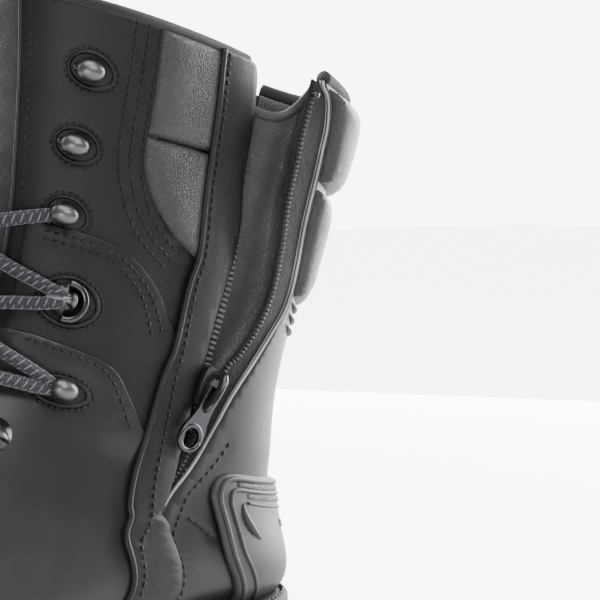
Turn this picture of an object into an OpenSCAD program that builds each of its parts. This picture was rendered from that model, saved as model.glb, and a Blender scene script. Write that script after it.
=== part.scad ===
// Firefighter's side-zip leather boot, right foot, with the zip open.
// Toe towards -X, inner (zip) side towards -Y, up is +Z. The origin is on the
// ground under the ankle. Every upper panel is cut from one surface, the last:
// "row" counts sections from the collar (0) down and forward to the toe (15),
// "turn" goes round a section from the front (0) by the inner side (0.25) to
// the back (0.5) and home by the outer side (0.75).

/* [Leather] */
// Thickness of the outer leather
leather_t = 1.8; // [1.4:0.1:2.4]
// Stand-out of the padded collar rolls
pad_bulge = 5.5; // [3:0.5:7]

/* [Zip] */
// Angle by which the rear quarter stands open
open_angle = 9.75; // [6:0.25:10]
// Radius of a zip coil
coil_r = 1.3; // [1:0.1:1.4]
// Length of the slider body
slider_len = 15; // [12:0.5:17]
// Width of the slider body
slider_w = 8; // [6:0.5:9]
// Length of the puller
puller_len = 20; // [16:0.5:22]

/* [Lacing] */
// Radius of the round lace
lace_r = 2.3; // [1.8:0.1:2.5]
// Length of a speed hook's head
hook_len = 12; // [10:0.5:13]
// Radius of a speed hook's head
hook_r = 3.2; // [2.6:0.1:3.5]

/* [Sole] */
// Depth of the tread grooves
tread_depth = 4.5; // [3:0.5:5]
// Distance from one tread bar to the next
tread_pitch = 14; // [13:0.5:18]
// Height of the toe spring
toe_spring = 11; // [6:1:12]

/* [Hidden] */

leather = "#2b2b2e";
soft_leather = "#3a3a3d";
rubber = "#1d1d1f";
textile = "#242426";
steel = "#8d8f94";

// The last: front x and z, back x and z, half width, sideways shift,
// squareness, narrowing towards the front
LAST = [
    [-68, 247, 46, 213, 46, 0, 2.20, 0.00],
    [-68, 222, 44, 190, 44.5, 0, 2.20, 0.00],
    [-69, 197, 40, 164, 43, 0, 2.20, 0.02],
    [-71, 171, 37, 137, 41.5, 0, 2.25, 0.04],
    [-76, 147, 35, 110, 40, 0, 2.35, 0.07],
    [-87, 127, 38, 84, 39, 0, 2.45, 0.10],
    [-104, 112, 42, 58, 39, 0, 2.60, 0.10],
    [-123, 102, 42, 35, 40, -1, 2.70, 0.10],
    [-143, 94, 5, 27, 42, -2, 2.70, 0.10],
    [-163, 87, -45, 24, 45, -3, 2.70, 0.12],
    [-184, 82, -100, 20, 49, -4, 2.70, 0.14],
    [-203, 77, -150, 18, 50, -4, 2.70, 0.12],
    [-222, 70, -195, 19, 46, -6, 2.70, 0.10],
    [-240, 61, -228, 23, 36, -8, 2.60, 0.08],
    [-252, 50, -246, 28, 21, -9, 2.30, 0.05],
    [-258, 39, -257, 35, 3, -9, 2.00, 0.00]];
// The sole: x, sideways shift, half width
SOLE = [[49, 0, 6], [45, 0, 21], [37, 0, 32], [21, 0, 40], [0, 0, 43.5],
    [-30, 0, 44], [-65, -1, 44], [-100, -2, 46], [-140, -3, 51],
    [-175, -4, 55], [-205, -5, 54], [-230, -7, 47], [-248, -8, 36],
    [-258, -9, 21], [-264, -9, 6]];
// The foot's bed above the ground along the boot
BED = [[50, 31], [5, 27], [-45, 24], [-100, 20], [-150, 18], [-195, 19],
    [-228, 23], [-265, 31]];
// Turn of the cut edge of the front and the rear zip facing, row by row
FRONT_EDGE = [0.318, 0.322, 0.320, 0.307, 0.286, 0.272, 0.265, 0.257];
REAR_EDGE = [0.325, 0.341, 0.354, 0.362, 0.312, 0.284, 0.268, 0.259];
// Places of the hooks on the inner side, row and turn, from the top
HOOKS = [[0.92, 0.146], [1.92, 0.136], [2.81, 0.132], [5.22, 0.176]];
LOCK_HOOK = [3.92, 0.151];
LOOPS = [[6.25, 0.150], [7.25, 0.125], [8.25, 0.108]];
v_row = 6.55;          // row where the two facings meet
hinge_at = [-26, -42, 66];
hinge_dir = [-0.616, -0.788, 0];
slider_row = 4.53;
gap = 0.3;

function mix(a, b, f) = a + (b - a) * f;
function look(list, x) = let (i = max(0, min(len(list) - 2, floor(x))))
    mix(list[i], list[i + 1], x - i);
// Value at x in a table of [x, ...] rows with x falling
function along(table, x, i = 0) = i >= len(table) - 2 || x >= table[i + 1][0]
    ? mix(table[i], table[i + 1],
        min(1, max(0, (x - table[i][0]) / (table[i + 1][0] - table[i][0]))))
    : along(table, x, i + 1);
function curve(a, b, c, d, f) = 0.5 * (2 * b + (c - a) * f
    + (2 * a - 5 * b + 4 * c - d) * f * f + (3 * b - a - 3 * c + d) * f * f * f);
function station(r) = let (top = len(LAST) - 1,
    q = max(0, min(top - 0.0001, r)), i = floor(q))
    curve(LAST[max(0, i - 1)], LAST[i], LAST[i + 1], LAST[min(top, i + 2)], q - i);
function power(v, p) = sign(v) * pow(abs(v), p);
function skin(r, t) = let (s = station(r), u = power(cos(360 * t), 2 / s[6]),
    v = power(sin(360 * t), 2 / s[6]))
    [(s[0] + s[2]) / 2 + (s[0] - s[2]) / 2 * u,
     s[5] - s[4] * v * (1 - s[7] * u),
     (s[1] + s[3]) / 2 + (s[1] - s[3]) / 2 * u];
function unit(v) = v / norm(v);
function outward(r, t) = unit(cross(skin(r + 0.01, t) - skin(r - 0.01, t),
    skin(r, t + 0.003) - skin(r, t - 0.003)));
function at(r, t, h) = skin(r, t) + h * outward(r, t);
function spin(p, axis, a) = p * cos(a) + cross(axis, p) * sin(a)
    + axis * (axis * p) * (1 - cos(a));
// A point of the closed rear quarter, swung to where it stands open
function swing(p) = hinge_at + spin(p - hinge_at, hinge_dir, -open_angle);
function front_edge(r) = look(FRONT_EDGE, r);
function rear_edge(r) = look(REAR_EDGE, r);
// Lower end of the rear quarter, f from its zip edge (0) to its far edge (1)
function quarter_end(f) = 4.45 + 1.7 * pow(1 - f, 10);

// A closed sheet between two surfaces outer(f, g) and inner(f, g)
module sheet(nf, ng, outer, inner) {
    w = ng + 1;
    n = (nf + 1) * w;
    idx = function (i, j) i * w + j;
    points = concat([for (i = [0:nf], j = [0:ng]) outer(i / nf, j / ng)],
        [for (i = [0:nf], j = [0:ng]) inner(i / nf, j / ng)]);
    top = [for (i = [0:nf - 1], j = [0:ng - 1])
        each [[idx(i, j), idx(i, j + 1), idx(i + 1, j + 1)],
              [idx(i, j), idx(i + 1, j + 1), idx(i + 1, j)]]];
    bottom = [for (tri = top) [tri[2] + n, tri[1] + n, tri[0] + n]];
    rim = concat([for (i = [0:nf - 1]) [idx(i, 0), idx(i + 1, 0)]],
        [for (j = [0:ng - 1]) [idx(nf, j), idx(nf, j + 1)]],
        [for (i = [nf:-1:1]) [idx(i, ng), idx(i - 1, ng)]],
        [for (j = [ng:-1:1]) [idx(0, j), idx(0, j - 1)]]);
    wall = [for (e = rim)
        each [[e[0], e[1], e[1] + n], [e[0], e[1] + n, e[0] + n]]];
    polyhedron(points, concat(top, bottom, wall));
}

// A panel of the upper from row r0 to r1; left, right give turns by row
module panel(r0, r1, left, right, h0, h1, nr, nt) {
    place = function (f, g, h) let (r = mix(r0, r1, f))
        at(r, mix(left(r), right(r), g), h);
    sheet(nr, nt, function (f, g) place(f, g, h1), function (f, g) place(f, g, h0));
}

// The same with the zip flap's swing, from row r0 to quarter_end
module flap_panel(r0, r1, left, right, h0, h1, nr, nt) {
    place = function (f, g, h) let (r = mix(r0, r1(g), f))
        swing(at(r, mix(left(r), right(r), g), h));
    sheet(nr, nt, function (f, g) place(f, g, h1), function (f, g) place(f, g, h0));
}

// A slab of the sole between two heights given as functions of x
module slab(x0, x1, inset, low, high, n) {
    place = function (f, g, z) let (x = mix(x0, x1, f), s = along(SOLE, x))
        [x, s[1] + (s[2] - inset) * (2 * g - 1), z(x)];
    sheet(n, 2, function (f, g) place(f, g, low), function (f, g) place(f, g, high));
}

// A round tube swept along points
module tube(points, r, sides) {
    n = len(points);
    ring = [for (i = [0:n - 1]) let (
        along_dir = unit(points[min(n - 1, i + 1)] - points[max(0, i - 1)]),
        side = unit(cross(along_dir, abs(along_dir.y) < 0.9 ? [0, 1, 0] : [1, 0, 0])),
        up = cross(along_dir, side))
        each [for (k = [0:sides - 1]) points[i]
            + r * (cos(360 * k / sides) * side + sin(360 * k / sides) * up)]];
    walls = [for (i = [0:n - 2], k = [0:sides - 1])
        let (a = i * sides + k, b = i * sides + (k + 1) % sides)
        each [[a, a + sides, b + sides], [a, b + sides, b]]];
    start = [for (k = [1:sides - 2]) [0, k, k + 1]];
    m = (n - 1) * sides;
    end = [for (k = [1:sides - 2]) [m, m + k + 1, m + k]];
    polyhedron(ring, concat(walls, start, end));
}

// Puts children on the upper: local x runs backwards, z points outwards
module on_upper(r, t, h, swung = false) {
    o = at(r, t, h);
    z = outward(r, t);
    x = unit(skin(r, t + 0.01) - skin(r, t - 0.01));
    y = cross(z, x);
    multmatrix([[x.x, y.x, z.x, o.x], [x.y, y.y, z.y, o.y],
        [x.z, y.z, z.z, o.z], [0, 0, 0, 1]]) children();
}

function ground(x) = x < -150 ? toe_spring * pow((-150 - x) / 113, 2) : 0;
function bed(x) = along(BED, x)[1];
// Height of the tread under x: bars with grooves, raised under the arch
function tread(x) = let (arch = x < -28 && x > -78,
    phase = (x + 300) / tread_pitch - floor((x + 300) / tread_pitch))
    ground(x) + (arch ? 7 : phase < 0.26 ? tread_depth : bearing(x) ? 0 : 0.2);
// Four bars across the sole stand 0.2 proud and carry the weight
function bearing(x) = min([for (b = [38, -22, -84, -148]) abs(x - b)]) < 4;

module outsole() {
    color(rubber)
    slab(48.9, -263.9, 0, function (x) tread(x), function (x) bed(x) - 9.3, 154);
}

// A trough: the rim along both sides holds the foot of the upper
module midsole() {
    place = function (f, g, lift) let (x = mix(47, -262, f), s = along(SOLE, x),
        i = round(5 * g), wall = i < 2 || i > 3,
        y = wall ? s[2] - 0.5 - (i == 0 || i == 5 ? 0 : 3.3)
            : s[2] - 4.2)
        [x, s[1] + (i < 3 ? -y : y),
         bed(x) - 9 + lift * (wall ? 4.9 + rim_height(x) : 4.9)];
    color(rubber)
    sheet(26, 5, function (f, g) place(f, g, 0), function (f, g) place(f, g, 1));
}
function rim_height(x) = 8 + 5 * min(1, max(0, (-30 - x) / 40));

module shank() {
    color(steel)
    slab_strip(10, -115, 9, function (x) bed(x) - 2.6, function (x) bed(x) - 1.4);
}

// A narrow strip of constant half width w along the sole
module slab_strip(x0, x1, w, low, high) {
    place = function (f, g, z) let (x = mix(x0, x1, f)) [x, w * (2 * g - 1), z(x)];
    sheet(8, 1, function (f, g) place(f, g, low), function (f, g) place(f, g, high));
}

module penetration_plate() {
    color("silver")
    slab(38, -250, 8, function (x) bed(x) - 3.8, function (x) bed(x) - 2.9, 24);
}

module lasting_board() {
    color("tan")
    slab(36, -243, 11, function (x) bed(x) - 1, function (x) bed(x) + 1, 24);
}

module footbed() {
    color("#4a4a50")
    slab(32, -221, 15, function (x) bed(x) + 1.4, function (x) bed(x) + 5.2, 24);
}

module toe_cap_shell() {
    color("gray")
    panel(11.4, 14.6, function (r) -0.31, function (r) 0.31, -4.2, -2.8, 8, 20);
}

module heel_stiffener() {
    color("dimgray")
    panel(5.9, 7.0, function (r) 0.34, function (r) 0.66, -3.6, -2.3, 5, 16);
}

module vamp() {
    color(leather)
    panel(7.6, 14.95, function (r) -0.36, function (r) 0.36, -leather_t, 0, 16, 22);
}

module toe_bumper() {
    color(rubber) {
        first = function (g) 13.7 - 2.3 * pow(abs(2 * g - 1), 2);
        place = function (f, g, h) at(mix(first(g), 14.95, f), mix(-0.36, 0.36, g), h);
        sheet(5, 22, function (f, g) place(f, g, 2.6), function (f, g) place(f, g, gap + 0.5));
    }
}

module medial_quarter() {
    color(leather)
    panel(0.06, 7.5, function (r) 0.062 + 0.022 * max(0, r - 5),
        function (r) front_edge(r) - 0.048 + (r > v_row ? 0.04 * (r - v_row) : 0),
        -leather_t, 0, 22, 10);
}

module lateral_quarter() {
    color(leather)
    panel(0.06, 7.5, function (r) 0.938 - 0.022 * max(0, r - 5),
        function (r) r < 4.9 ? 0.615 : min(0.697, 0.615 + 0.35 * (r - 4.9)),
        leather_in(), leather_out(), 20, 12);
}

// Panels on the outer side run the other way round, so their skins swap
function leather_in() = 0;
function leather_out() = -leather_t;

module heel_leather() {
    color(leather) {
        place = function (f, g, h) let (t = mix(0.262, 0.69, pow(g, 1.3)))
            at(mix(base_start(t), base_end(t), f), t, h);
        sheet(9, 24, function (f, g) place(f, g, 0),
            function (f, g) place(f, g, -leather_t));
    }
}

// Upper end of the fixed heel leather under the swinging rear quarter
function base_start(t) = along([[0.70, 5.42], [0.65, 5.2], [0.615, 5.0],
    [0.50, 5.05], [0.44, 5.12], [0.36, 5.4], [0.31, 5.85], [0.285, 6.15], [0.26, 6.75]], t)[1];

// Lower end of the heel leather: a little higher round the back
function base_end(t) = 7.5 - 0.3 * pow(max(0, sin(180 * (t - 0.262) / 0.428)), 1.5);

module ankle_overlay_medial() {
    color(leather)
    panel(3.05, 7.3, function (r) 0.105 + 0.015 * max(0, r - 3),
        function (r) min(front_edge(r) - 0.052, 0.17 + 0.075 * (r - 3.05)),
        gap, 1.5, 14, 8);
}

module ankle_overlay_lateral() {
    color(leather)
    panel(3.05, 7.3, function (r) 0.895 - 0.015 * max(0, r - 3),
        function (r) max(0.735, 0.83 - 0.075 * (r - 3.05)), 1.5, gap, 14, 8);
}

// A padded roll: its outer face swells to pad_bulge in the middle
function swell(f, g) = pad_bulge * pow(sin(180 * mix(0.06, 0.94, f)), 0.6)
    * pow(sin(180 * mix(0.05, 0.95, g)), 0.5);

module front_collar_pads() {
    color(soft_leather)
    for (span = [[0.08, 1.48], [1.56, 2.62]]) {
        place = function (f, g, k) let (r = mix(span[0], span[1], f))
            at(r, mix(0.224 + 0.013 * max(0, r - 1.6), 0.262, g),
                gap + k * 0.5 * swell(f, g));
        sheet(8, 6, function (f, g) place(f, g, 1), function (f, g) place(f, g, 0));
    }
}

module lateral_collar_pads() {
    color(soft_leather)
    for (span = [[0.08, 1.48], [1.56, 2.62]]) {
        place = function (f, g, k) let (r = mix(span[0], span[1], f))
            at(r, mix(0.776, 0.622, g), gap + k * 0.5 * swell(f, g));
        sheet(8, 10, function (f, g) place(f, g, 0), function (f, g) place(f, g, 1));
    }
}

module collar_binding() {
    color(textile)
    for (span = [[0.062, 0.31], [0.938, 0.622]])
        tube([for (i = [0:16]) at(0, mix(span[0], span[1], i / 16), -1.6) + [0, 0, 0.9]],
            1.4, 8);
}

module front_zip_facing() {
    color(leather)
    panel(0.02, 7.4, function (r) front_edge(r) - 0.046, function (r) front_edge(r),
        gap, 1.7, 22, 4);
}

module zip_tape_front() {
    color(textile)
    panel(0.1, 6.4, function (r) front_edge(r) - 0.025, function (r) front_edge(r) - 0.002,
        -3.2, -2.2, 18, 3);
}

module zip_coil_front() {
    color("gray")
    tube([for (i = [0:24]) let (r = mix(0.3, 6.2, i / 24))
        at(r, front_edge(r) + 0.004, -1.4)], coil_r, 8);
}

module zip_bottom_stop() {
    color(steel)
    on_upper(6.42, 0.2655, -1.4) translate([0, 0, 0]) cube([5, 2.4, 2.6], center = true);
}

module zip_top_stop_front() {
    color(steel)
    on_upper(0.2, 0.3225, -1.4) cube([3, 2.6, 3], center = true);
}

// The bellows behind the open zip, from the front facing to the rear quarter
module gusset() {
    color(soft_leather) {
        span = function (f, g, h) let (r = mix(0.75, 6.1, f),
            a = at(r, front_edge(r) - 0.03, h), b = swing(at(r, rear_edge(r) + 0.012, h)))
            mix(a, b, g) + [0.55, 0.80, 0] * 5 * sin(180 * g) * (1 - 0.85 * f);
        sheet(16, 8, function (f, g) span(f, g, -5.2), function (f, g) span(f, g, -6.6));
    }
}

// The soft ankle panel on the outer side, from the fixed to the swinging part
module flex_panel() {
    color(soft_leather) {
        span = function (f, g, h) let (r = mix(0.06, 4.5, f))
            mix(swing(at(r, 0.5915, h)), at(r, 0.6135, h), g);
        sheet(14, 4, function (f, g) span(f, g, -0.2), function (f, g) span(f, g, -1.6));
    }
}

module heel_counter() {
    color(rubber) {
        place = function (f, g, h) let (t = mix(0.305, 0.695, g))
            at(mix(counter_top(t), 7.2 - 0.28 * sin(180 * (t - 0.305) / 0.39), f), t, h);
        rim = function (f, g) gap + 2.2 + (f < 0.13 || g < 0.05 || g > 0.95 ? 1.2 : 0);
        sheet(9, 30, function (f, g) place(f, g, rim(f, g)),
            function (f, g) place(f, g, gap));
    }
}
function counter_top(t) = 5.66 - 0.40 * pow(sin(180 * (t - 0.3) / 0.4), 0.7);

module counter_band() {
    color("#55565a")
    for (k = [0, 1]) {
        place = function (f, g, h) let (t = mix(0.33, 0.67, g))
            at(counter_top(t) + 0.45 + 0.13 * k + 0.08 * f, t, h);
        sheet(1, 24, function (f, g) place(f, g, 3.5), function (f, g) place(f, g, 2.8));
    }
}

module shaft_lining() {
    color("#6b6b6e") {
        panel(0.1, 7.3, function (r) 0.124 - 0.003 * r + 0.01 * max(0, r - 4),
            function (r) front_edge(r) - 0.034, -5.0, -3.8, 18, 8);
        panel(0.1, 7.3, function (r) 0.876 + 0.003 * r - 0.01 * max(0, r - 4),
            function (r) r < 4.9 ? 0.625 : 0.7, -3.8, -5.0, 18, 10);
    }
}

module vamp_lining() {
    color("#6b6b6e")
    panel(7.5, 11.3, function (r) -0.31, function (r) 0.31, -3.6, -2.4, 9, 18);
}

module tongue() {
    color(soft_leather)
    panel(0.15, 7.4, function (r) -0.088 - 0.012 * sin(18 * r),
        function (r) 0.088 + 0.012 * sin(18 * r), -7.4, -2.2, 20, 10);
}

// A speed hook: foot plate, neck and a capsule head along local x
module speed_hook() {
    cylinder(h = 0.9, r = 4, $fn = 32);
    translate([-hook_len / 2 + 1.2, -2, 0.5]) cube([2.4, 4, 3.4]);
    translate([-hook_len / 2 + hook_r, 0, 4.6]) {
        rotate([0, 90, 0]) cylinder(h = hook_len - 2 * hook_r, r = hook_r - 0.6, $fn = 32);
        sphere(hook_r - 0.6, $fn = 32);
        translate([hook_len - 2 * hook_r, 0, 0]) sphere(hook_r - 0.6, $fn = 32);
    }
}

module speed_hooks_medial() {
    color(steel)
    for (p = HOOKS) on_upper(p[0], p[1], hook_lift(p[0])) speed_hook();
}

module speed_hooks_lateral() {
    color(steel)
    for (p = HOOKS) on_upper(p[0], 1 - p[1], hook_lift(p[0]))
        mirror([1, 0, 0]) speed_hook();
}
function hook_lift(r) = r > 3 ? 1.8 : 0.2;

// The locking hook: foot plate, ball-ended arm and a C-shaped guard
module lock_hook() {
    cylinder(h = 0.9, r = 5, $fn = 32);
    translate([0, 0, 0.5]) difference() {
        cylinder(h = 4.6, r = 6.5, $fn = 40);
        translate([0, 0, -1]) cylinder(h = 8, r = 4.9, $fn = 40);
        translate([-9, -9, -1]) cube([9, 18, 8]);
    }
    translate([-7, -1.3, 2.6]) cube([8, 2.6, 1.8]);
    translate([1.6, 0, 3.4]) sphere(2.4, $fn = 32);
    translate([-7, -1.3, 0.4]) cube([2, 2.6, 2.6]);
}

module lock_hook_medial() {
    color(steel) on_upper(LOCK_HOOK[0], LOCK_HOOK[1], 1.8) lock_hook();
}

module lock_hook_lateral() {
    color(steel) on_upper(LOCK_HOOK[0], 1 - LOCK_HOOK[1], 1.8)
        mirror([1, 0, 0]) lock_hook();
}

// A closed lace loop: foot plate and an arch the lace runs through
module lace_loop() {
    translate([-4.5, -4, 0]) cube([9, 8, 0.9]);
    translate([0, 3.4, 0.6]) rotate([90, 0, 0]) difference() {
        cylinder(h = 6.8, r = 4.2, $fn = 40);
        translate([0, 0, -1]) cylinder(h = 9, r = 3.2, $fn = 40);
        translate([-6, -6, -1]) cube([12, 6, 9]);
    }
}

module lace_loops() {
    color(steel)
    for (p = LOOPS, side = [0, 1])
        on_upper(p[0], side == 0 ? p[1] : 1 - p[1], p[0] < 7.3 ? 1.8 : 0.3) lace_loop();
}

// Rows that the lace visits from the toe up, and how far it stands off there
LACED = [[8.25, 0.108, 2.8], [7.25, 0.125, 3.2], [6.25, 0.150, 4.2],
    [5.22, 0.168, 4.4], [3.92, 0.145, 4.6], [2.81, 0.126, 3.2]];
// One run of lace from eye i on one side to eye i + 1 on the other
function run(i, side, lift) = let (a = LACED[i], b = LACED[i + 1])
    [for (k = [0:8]) let (f = k / 8, t = mix(a[1], -b[1], f))
        at(mix(a[0], b[0], f), side * t,
           mix(a[2], b[2], f) + (1 + lift) * sin(180 * f))];
// The strand that starts on the inner side (1) passes under the other (-1)
function strand(side) = [for (i = [0:4]) each run(i, i % 2 == 0 ? side : -side,
    side > 0 ? 0 : 5.5)];
module lace() {
    color("#33343a") {
        tube(strand(1), lace_r, 8);
        tube(strand(-1), lace_r, 8);
        tube([for (k = [0:8]) at(8.5, mix(-0.092, 0.092, k / 8), 3)], lace_r, 8);
        translate(at(2.45, 0, 5)) sphere(knot_r, $fn = 24);
    }
}

knot_r = 5.5;
// The free ends of the lace hang down the front from the knot
END_MEDIAL = [[-79, -5, 182], [-83, -8, 178], [-86, -11, 171], [-88, -13, 163],
    [-91, -15, 154], [-95, -16, 146], [-100, -17, 139], [-106, -17, 132],
    [-113, -17, 127], [-120, -16, 122], [-128, -15, 118], [-136, -13, 114],
    [-144, -11, 110.5], [-152, -9, 107]];
END_LATERAL = [for (p = END_MEDIAL) [p.x, -p.y, p.z]];
module lace_end_medial() { color("#33343a") tube(END_MEDIAL, lace_r, 8); }
module lace_end_lateral() { color("#33343a") tube(END_LATERAL, lace_r, 8); }
module lace_tips() {
    color("black")
    for (side = [1, -1])
        tube([[-152.4, -8.9 * side, 106.8], [-168, -5 * side, 99.5]], 1.7, 12);
}

module rear_quarter() {
    color(leather)
    flap_panel(0.06, function (g) quarter_end(g), function (r) rear_edge(r) + 0.007,
        function (r) 0.59, -leather_t, 0, 18, 14);
}

module rear_collar_pads() {
    color(soft_leather)
    for (span = [[0.08, 1.30], [1.38, 2.62]]) {
        place = function (f, g, k) let (r = mix(span[0], span[1], f))
            swing(at(r, mix(rear_edge(r) + 0.034, 0.588, g), gap + k * swell(f, g)));
        sheet(7, 12, function (f, g) place(f, g, 1), function (f, g) place(f, g, 0));
    }
}

module rear_zip_facing() {
    color(leather)
    flap_panel(0.04, function (g) 6.3, function (r) rear_edge(r),
        function (r) rear_edge(r) + 0.03 - 0.015 * max(0, min(1.6, r - 4.4)), gap, 1.7, 20, 3);
}

module zip_tape_rear() {
    color(textile)
    flap_panel(0.1, function (g) 4.05, function (r) rear_edge(r) - 0.03 * tape_show(r),
        function (r) rear_edge(r) + 0.012, -3.2, -2.2, 18, 4);
}
function tape_show(r) = max(0.05, min(1, (5.2 - r) / 1.8));

module zip_coil_rear() {
    color("gray")
    tube([for (i = [0:24]) let (r = mix(0.3, 4.02, i / 24))
        swing(at(r, rear_edge(r) - 0.034 * tape_show(r), -0.75))], coil_r, 8);
}

module zip_top_stop_rear() {
    color(steel)
    translate(swing(at(0.05, rear_edge(0.05) - 0.034, -1.4))) sphere(1.7, $fn = 24);
}

module rear_lining() {
    color("#6b6b6e")
    flap_panel(0.1, function (g) quarter_end(g) - 0.1, function (r) rear_edge(r) + 0.03,
        function (r) 0.585, -5.0, -3.8, 12, 12);
}

// The slider's frame: origin on the coils, x backwards, z outwards
module slider_frame() {
    on_upper(slider_row, 0.2945, 3.1) rotate([0, 0, -16]) children();
}

module slider_body() {
    color("#1f1f22") slider_frame() {
        linear_extrude(1.8) offset(r = 1.5, $fn = 24)
            polygon([[-slider_w / 2 + 1.5, slider_len / 2 - 1.5],
                [slider_w / 2 - 1.5, slider_len / 2 - 1.5],
                [slider_w / 2 - 2.2, -slider_len / 2 + 1.5],
                [-slider_w / 2 + 2.2, -slider_len / 2 + 1.5]]);
        translate([-1.2, -slider_len / 2 + 1.5, 1.5]) cube([2.4, 2.2, 4]);
        translate([-1.2, slider_len / 2 - 3.5, 1.5]) cube([2.4, 2.2, 4]);
        translate([-1.2, -slider_len / 2 + 1.5, 5]) cube([2.4, slider_len - 2.8, 1.2]);
    }
}

// The puller hangs from the bridge: its top bar passes under it at the pivot
module slider_puller() {
    color(steel) slider_frame() translate([0, 0.6, 3.5]) rotate([3, 0, 0])
    translate([0, 0, -0.6]) linear_extrude(1.2) difference() {
        union() {
            translate([-3.2, -puller_len + 4.5]) square([6.4, puller_len - 3.7]);
            translate([0, -puller_len + 4.5]) circle(r = 4.6, $fn = 40);
        }
        translate([0, -puller_len + 4.5]) circle(r = 3, $fn = 40);
        translate([-1.9, -8.6]) square([3.8, 7.8]);
    }
}

outsole();
midsole();
shank();
penetration_plate();
lasting_board();
footbed();
toe_cap_shell();
heel_stiffener();
vamp();
toe_bumper();
medial_quarter();
lateral_quarter();
heel_leather();
ankle_overlay_medial();
ankle_overlay_lateral();
front_collar_pads();
lateral_collar_pads();
collar_binding();
front_zip_facing();
zip_tape_front();
zip_coil_front();
zip_bottom_stop();
zip_top_stop_front();
gusset();
flex_panel();
heel_counter();
counter_band();
shaft_lining();
vamp_lining();
tongue();
speed_hooks_medial();
speed_hooks_lateral();
lock_hook_medial();
lock_hook_lateral();
lace_loops();
lace();
lace_end_medial();
lace_end_lateral();
lace_tips();
rear_quarter();
rear_collar_pads();
rear_zip_facing();
zip_tape_rear();
zip_coil_rear();
zip_top_stop_rear();
rear_lining();
slider_body();
slider_puller();
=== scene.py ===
import math

import bmesh
import bpy
import numpy as np
from mathutils import Matrix, Vector
from mathutils.geometry import delaunay_2d_cdt


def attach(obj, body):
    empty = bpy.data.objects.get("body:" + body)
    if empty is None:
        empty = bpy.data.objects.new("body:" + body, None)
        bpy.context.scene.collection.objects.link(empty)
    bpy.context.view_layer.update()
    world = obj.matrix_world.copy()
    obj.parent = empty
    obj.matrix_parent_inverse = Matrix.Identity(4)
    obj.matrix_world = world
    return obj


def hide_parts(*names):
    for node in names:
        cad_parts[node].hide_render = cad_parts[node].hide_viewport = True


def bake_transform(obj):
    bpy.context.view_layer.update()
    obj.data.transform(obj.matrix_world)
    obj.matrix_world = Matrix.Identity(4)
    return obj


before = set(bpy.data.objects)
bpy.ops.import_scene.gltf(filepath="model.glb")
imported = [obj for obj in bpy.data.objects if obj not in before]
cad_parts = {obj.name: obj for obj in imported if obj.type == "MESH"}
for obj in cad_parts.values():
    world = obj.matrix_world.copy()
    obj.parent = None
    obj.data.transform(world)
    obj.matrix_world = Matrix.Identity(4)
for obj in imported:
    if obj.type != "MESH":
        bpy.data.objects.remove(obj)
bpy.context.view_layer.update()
MM = 0.001

# ---------------------------------------------------------------- the last
# Every leather piece is cut from the last, the surface that the upper is
# pulled over. "row" runs from the collar (0) down and forward to the toe
# (15); "turn" goes round from the front (0) by the inner side (0.25) to the
# back (0.5) and home by the outer side (0.75). Lengths are millimetres.
LAST = np.array([
    [-68, 247, 46, 213, 46, 0, 2.20, 0.00],
    [-68, 222, 44, 190, 44.5, 0, 2.20, 0.00],
    [-69, 197, 40, 164, 43, 0, 2.20, 0.02],
    [-71, 171, 37, 137, 41.5, 0, 2.25, 0.04],
    [-76, 147, 35, 110, 40, 0, 2.35, 0.07],
    [-87, 127, 38, 84, 39, 0, 2.45, 0.10],
    [-104, 112, 42, 58, 39, 0, 2.60, 0.10],
    [-123, 102, 42, 35, 40, -1, 2.70, 0.10],
    [-143, 94, 5, 27, 42, -2, 2.70, 0.10],
    [-163, 87, -45, 24, 45, -3, 2.70, 0.12],
    [-184, 82, -100, 20, 49, -4, 2.70, 0.14],
    [-203, 77, -150, 18, 50, -4, 2.70, 0.12],
    [-222, 70, -195, 19, 46, -6, 2.70, 0.10],
    [-240, 61, -228, 23, 36, -8, 2.60, 0.08],
    [-252, 50, -246, 28, 21, -9, 2.30, 0.05],
    [-258, 39, -257, 35, 3, -9, 2.00, 0.00]], float)
SOLE = [(49, 0, 6), (45, 0, 21), (37, 0, 32), (21, 0, 40), (0, 0, 43.5),
        (-30, 0, 44), (-65, -1, 44), (-100, -2, 46), (-140, -3, 51),
        (-175, -4, 55), (-205, -5, 54), (-230, -7, 47), (-248, -8, 36),
        (-258, -9, 21), (-264, -9, 6)]
BED = [(50, 31), (5, 27), (-45, 24), (-100, 20), (-150, 18), (-195, 19),
       (-228, 23), (-265, 31)]
HINGE = np.array([-26.0, -42.0, 66.0])
HINGE_DIR = np.array([-0.616, -0.788, 0.0])
OPEN_ANGLE = math.radians(9.75)
FRONT_EDGE = [0.318, 0.322, 0.320, 0.307, 0.286, 0.272, 0.265, 0.257, 0.25]
HOOKS = [(0.92, 0.146), (1.92, 0.136), (2.81, 0.132), (5.22, 0.176)]
LOCK_HOOK = (3.92, 0.151)
LOOPS = [(6.25, 0.150), (7.25, 0.125), (8.25, 0.108)]


def cubic(a, b, c, d, f):
    """The smooth curve from b to c, f from 0 to 1; a and d are its neighbours."""
    return 0.5 * (2 * b + (c - a) * f + (2 * a - 5 * b + 4 * c - d) * f ** 2
                  + (3 * b - a - 3 * c + d) * f ** 3)


def station(row):
    """The eight measures of the last's section at row."""
    top = len(LAST) - 1
    q = np.clip(np.asarray(row, float), 0, top - 1e-4)
    i = np.floor(q).astype(int)
    f = (q - i)[..., None]
    a, b = LAST[np.clip(i - 1, 0, top)], LAST[i]
    c, d = LAST[np.clip(i + 1, 0, top)], LAST[np.clip(i + 2, 0, top)]
    return cubic(a, b, c, d, f)


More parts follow.
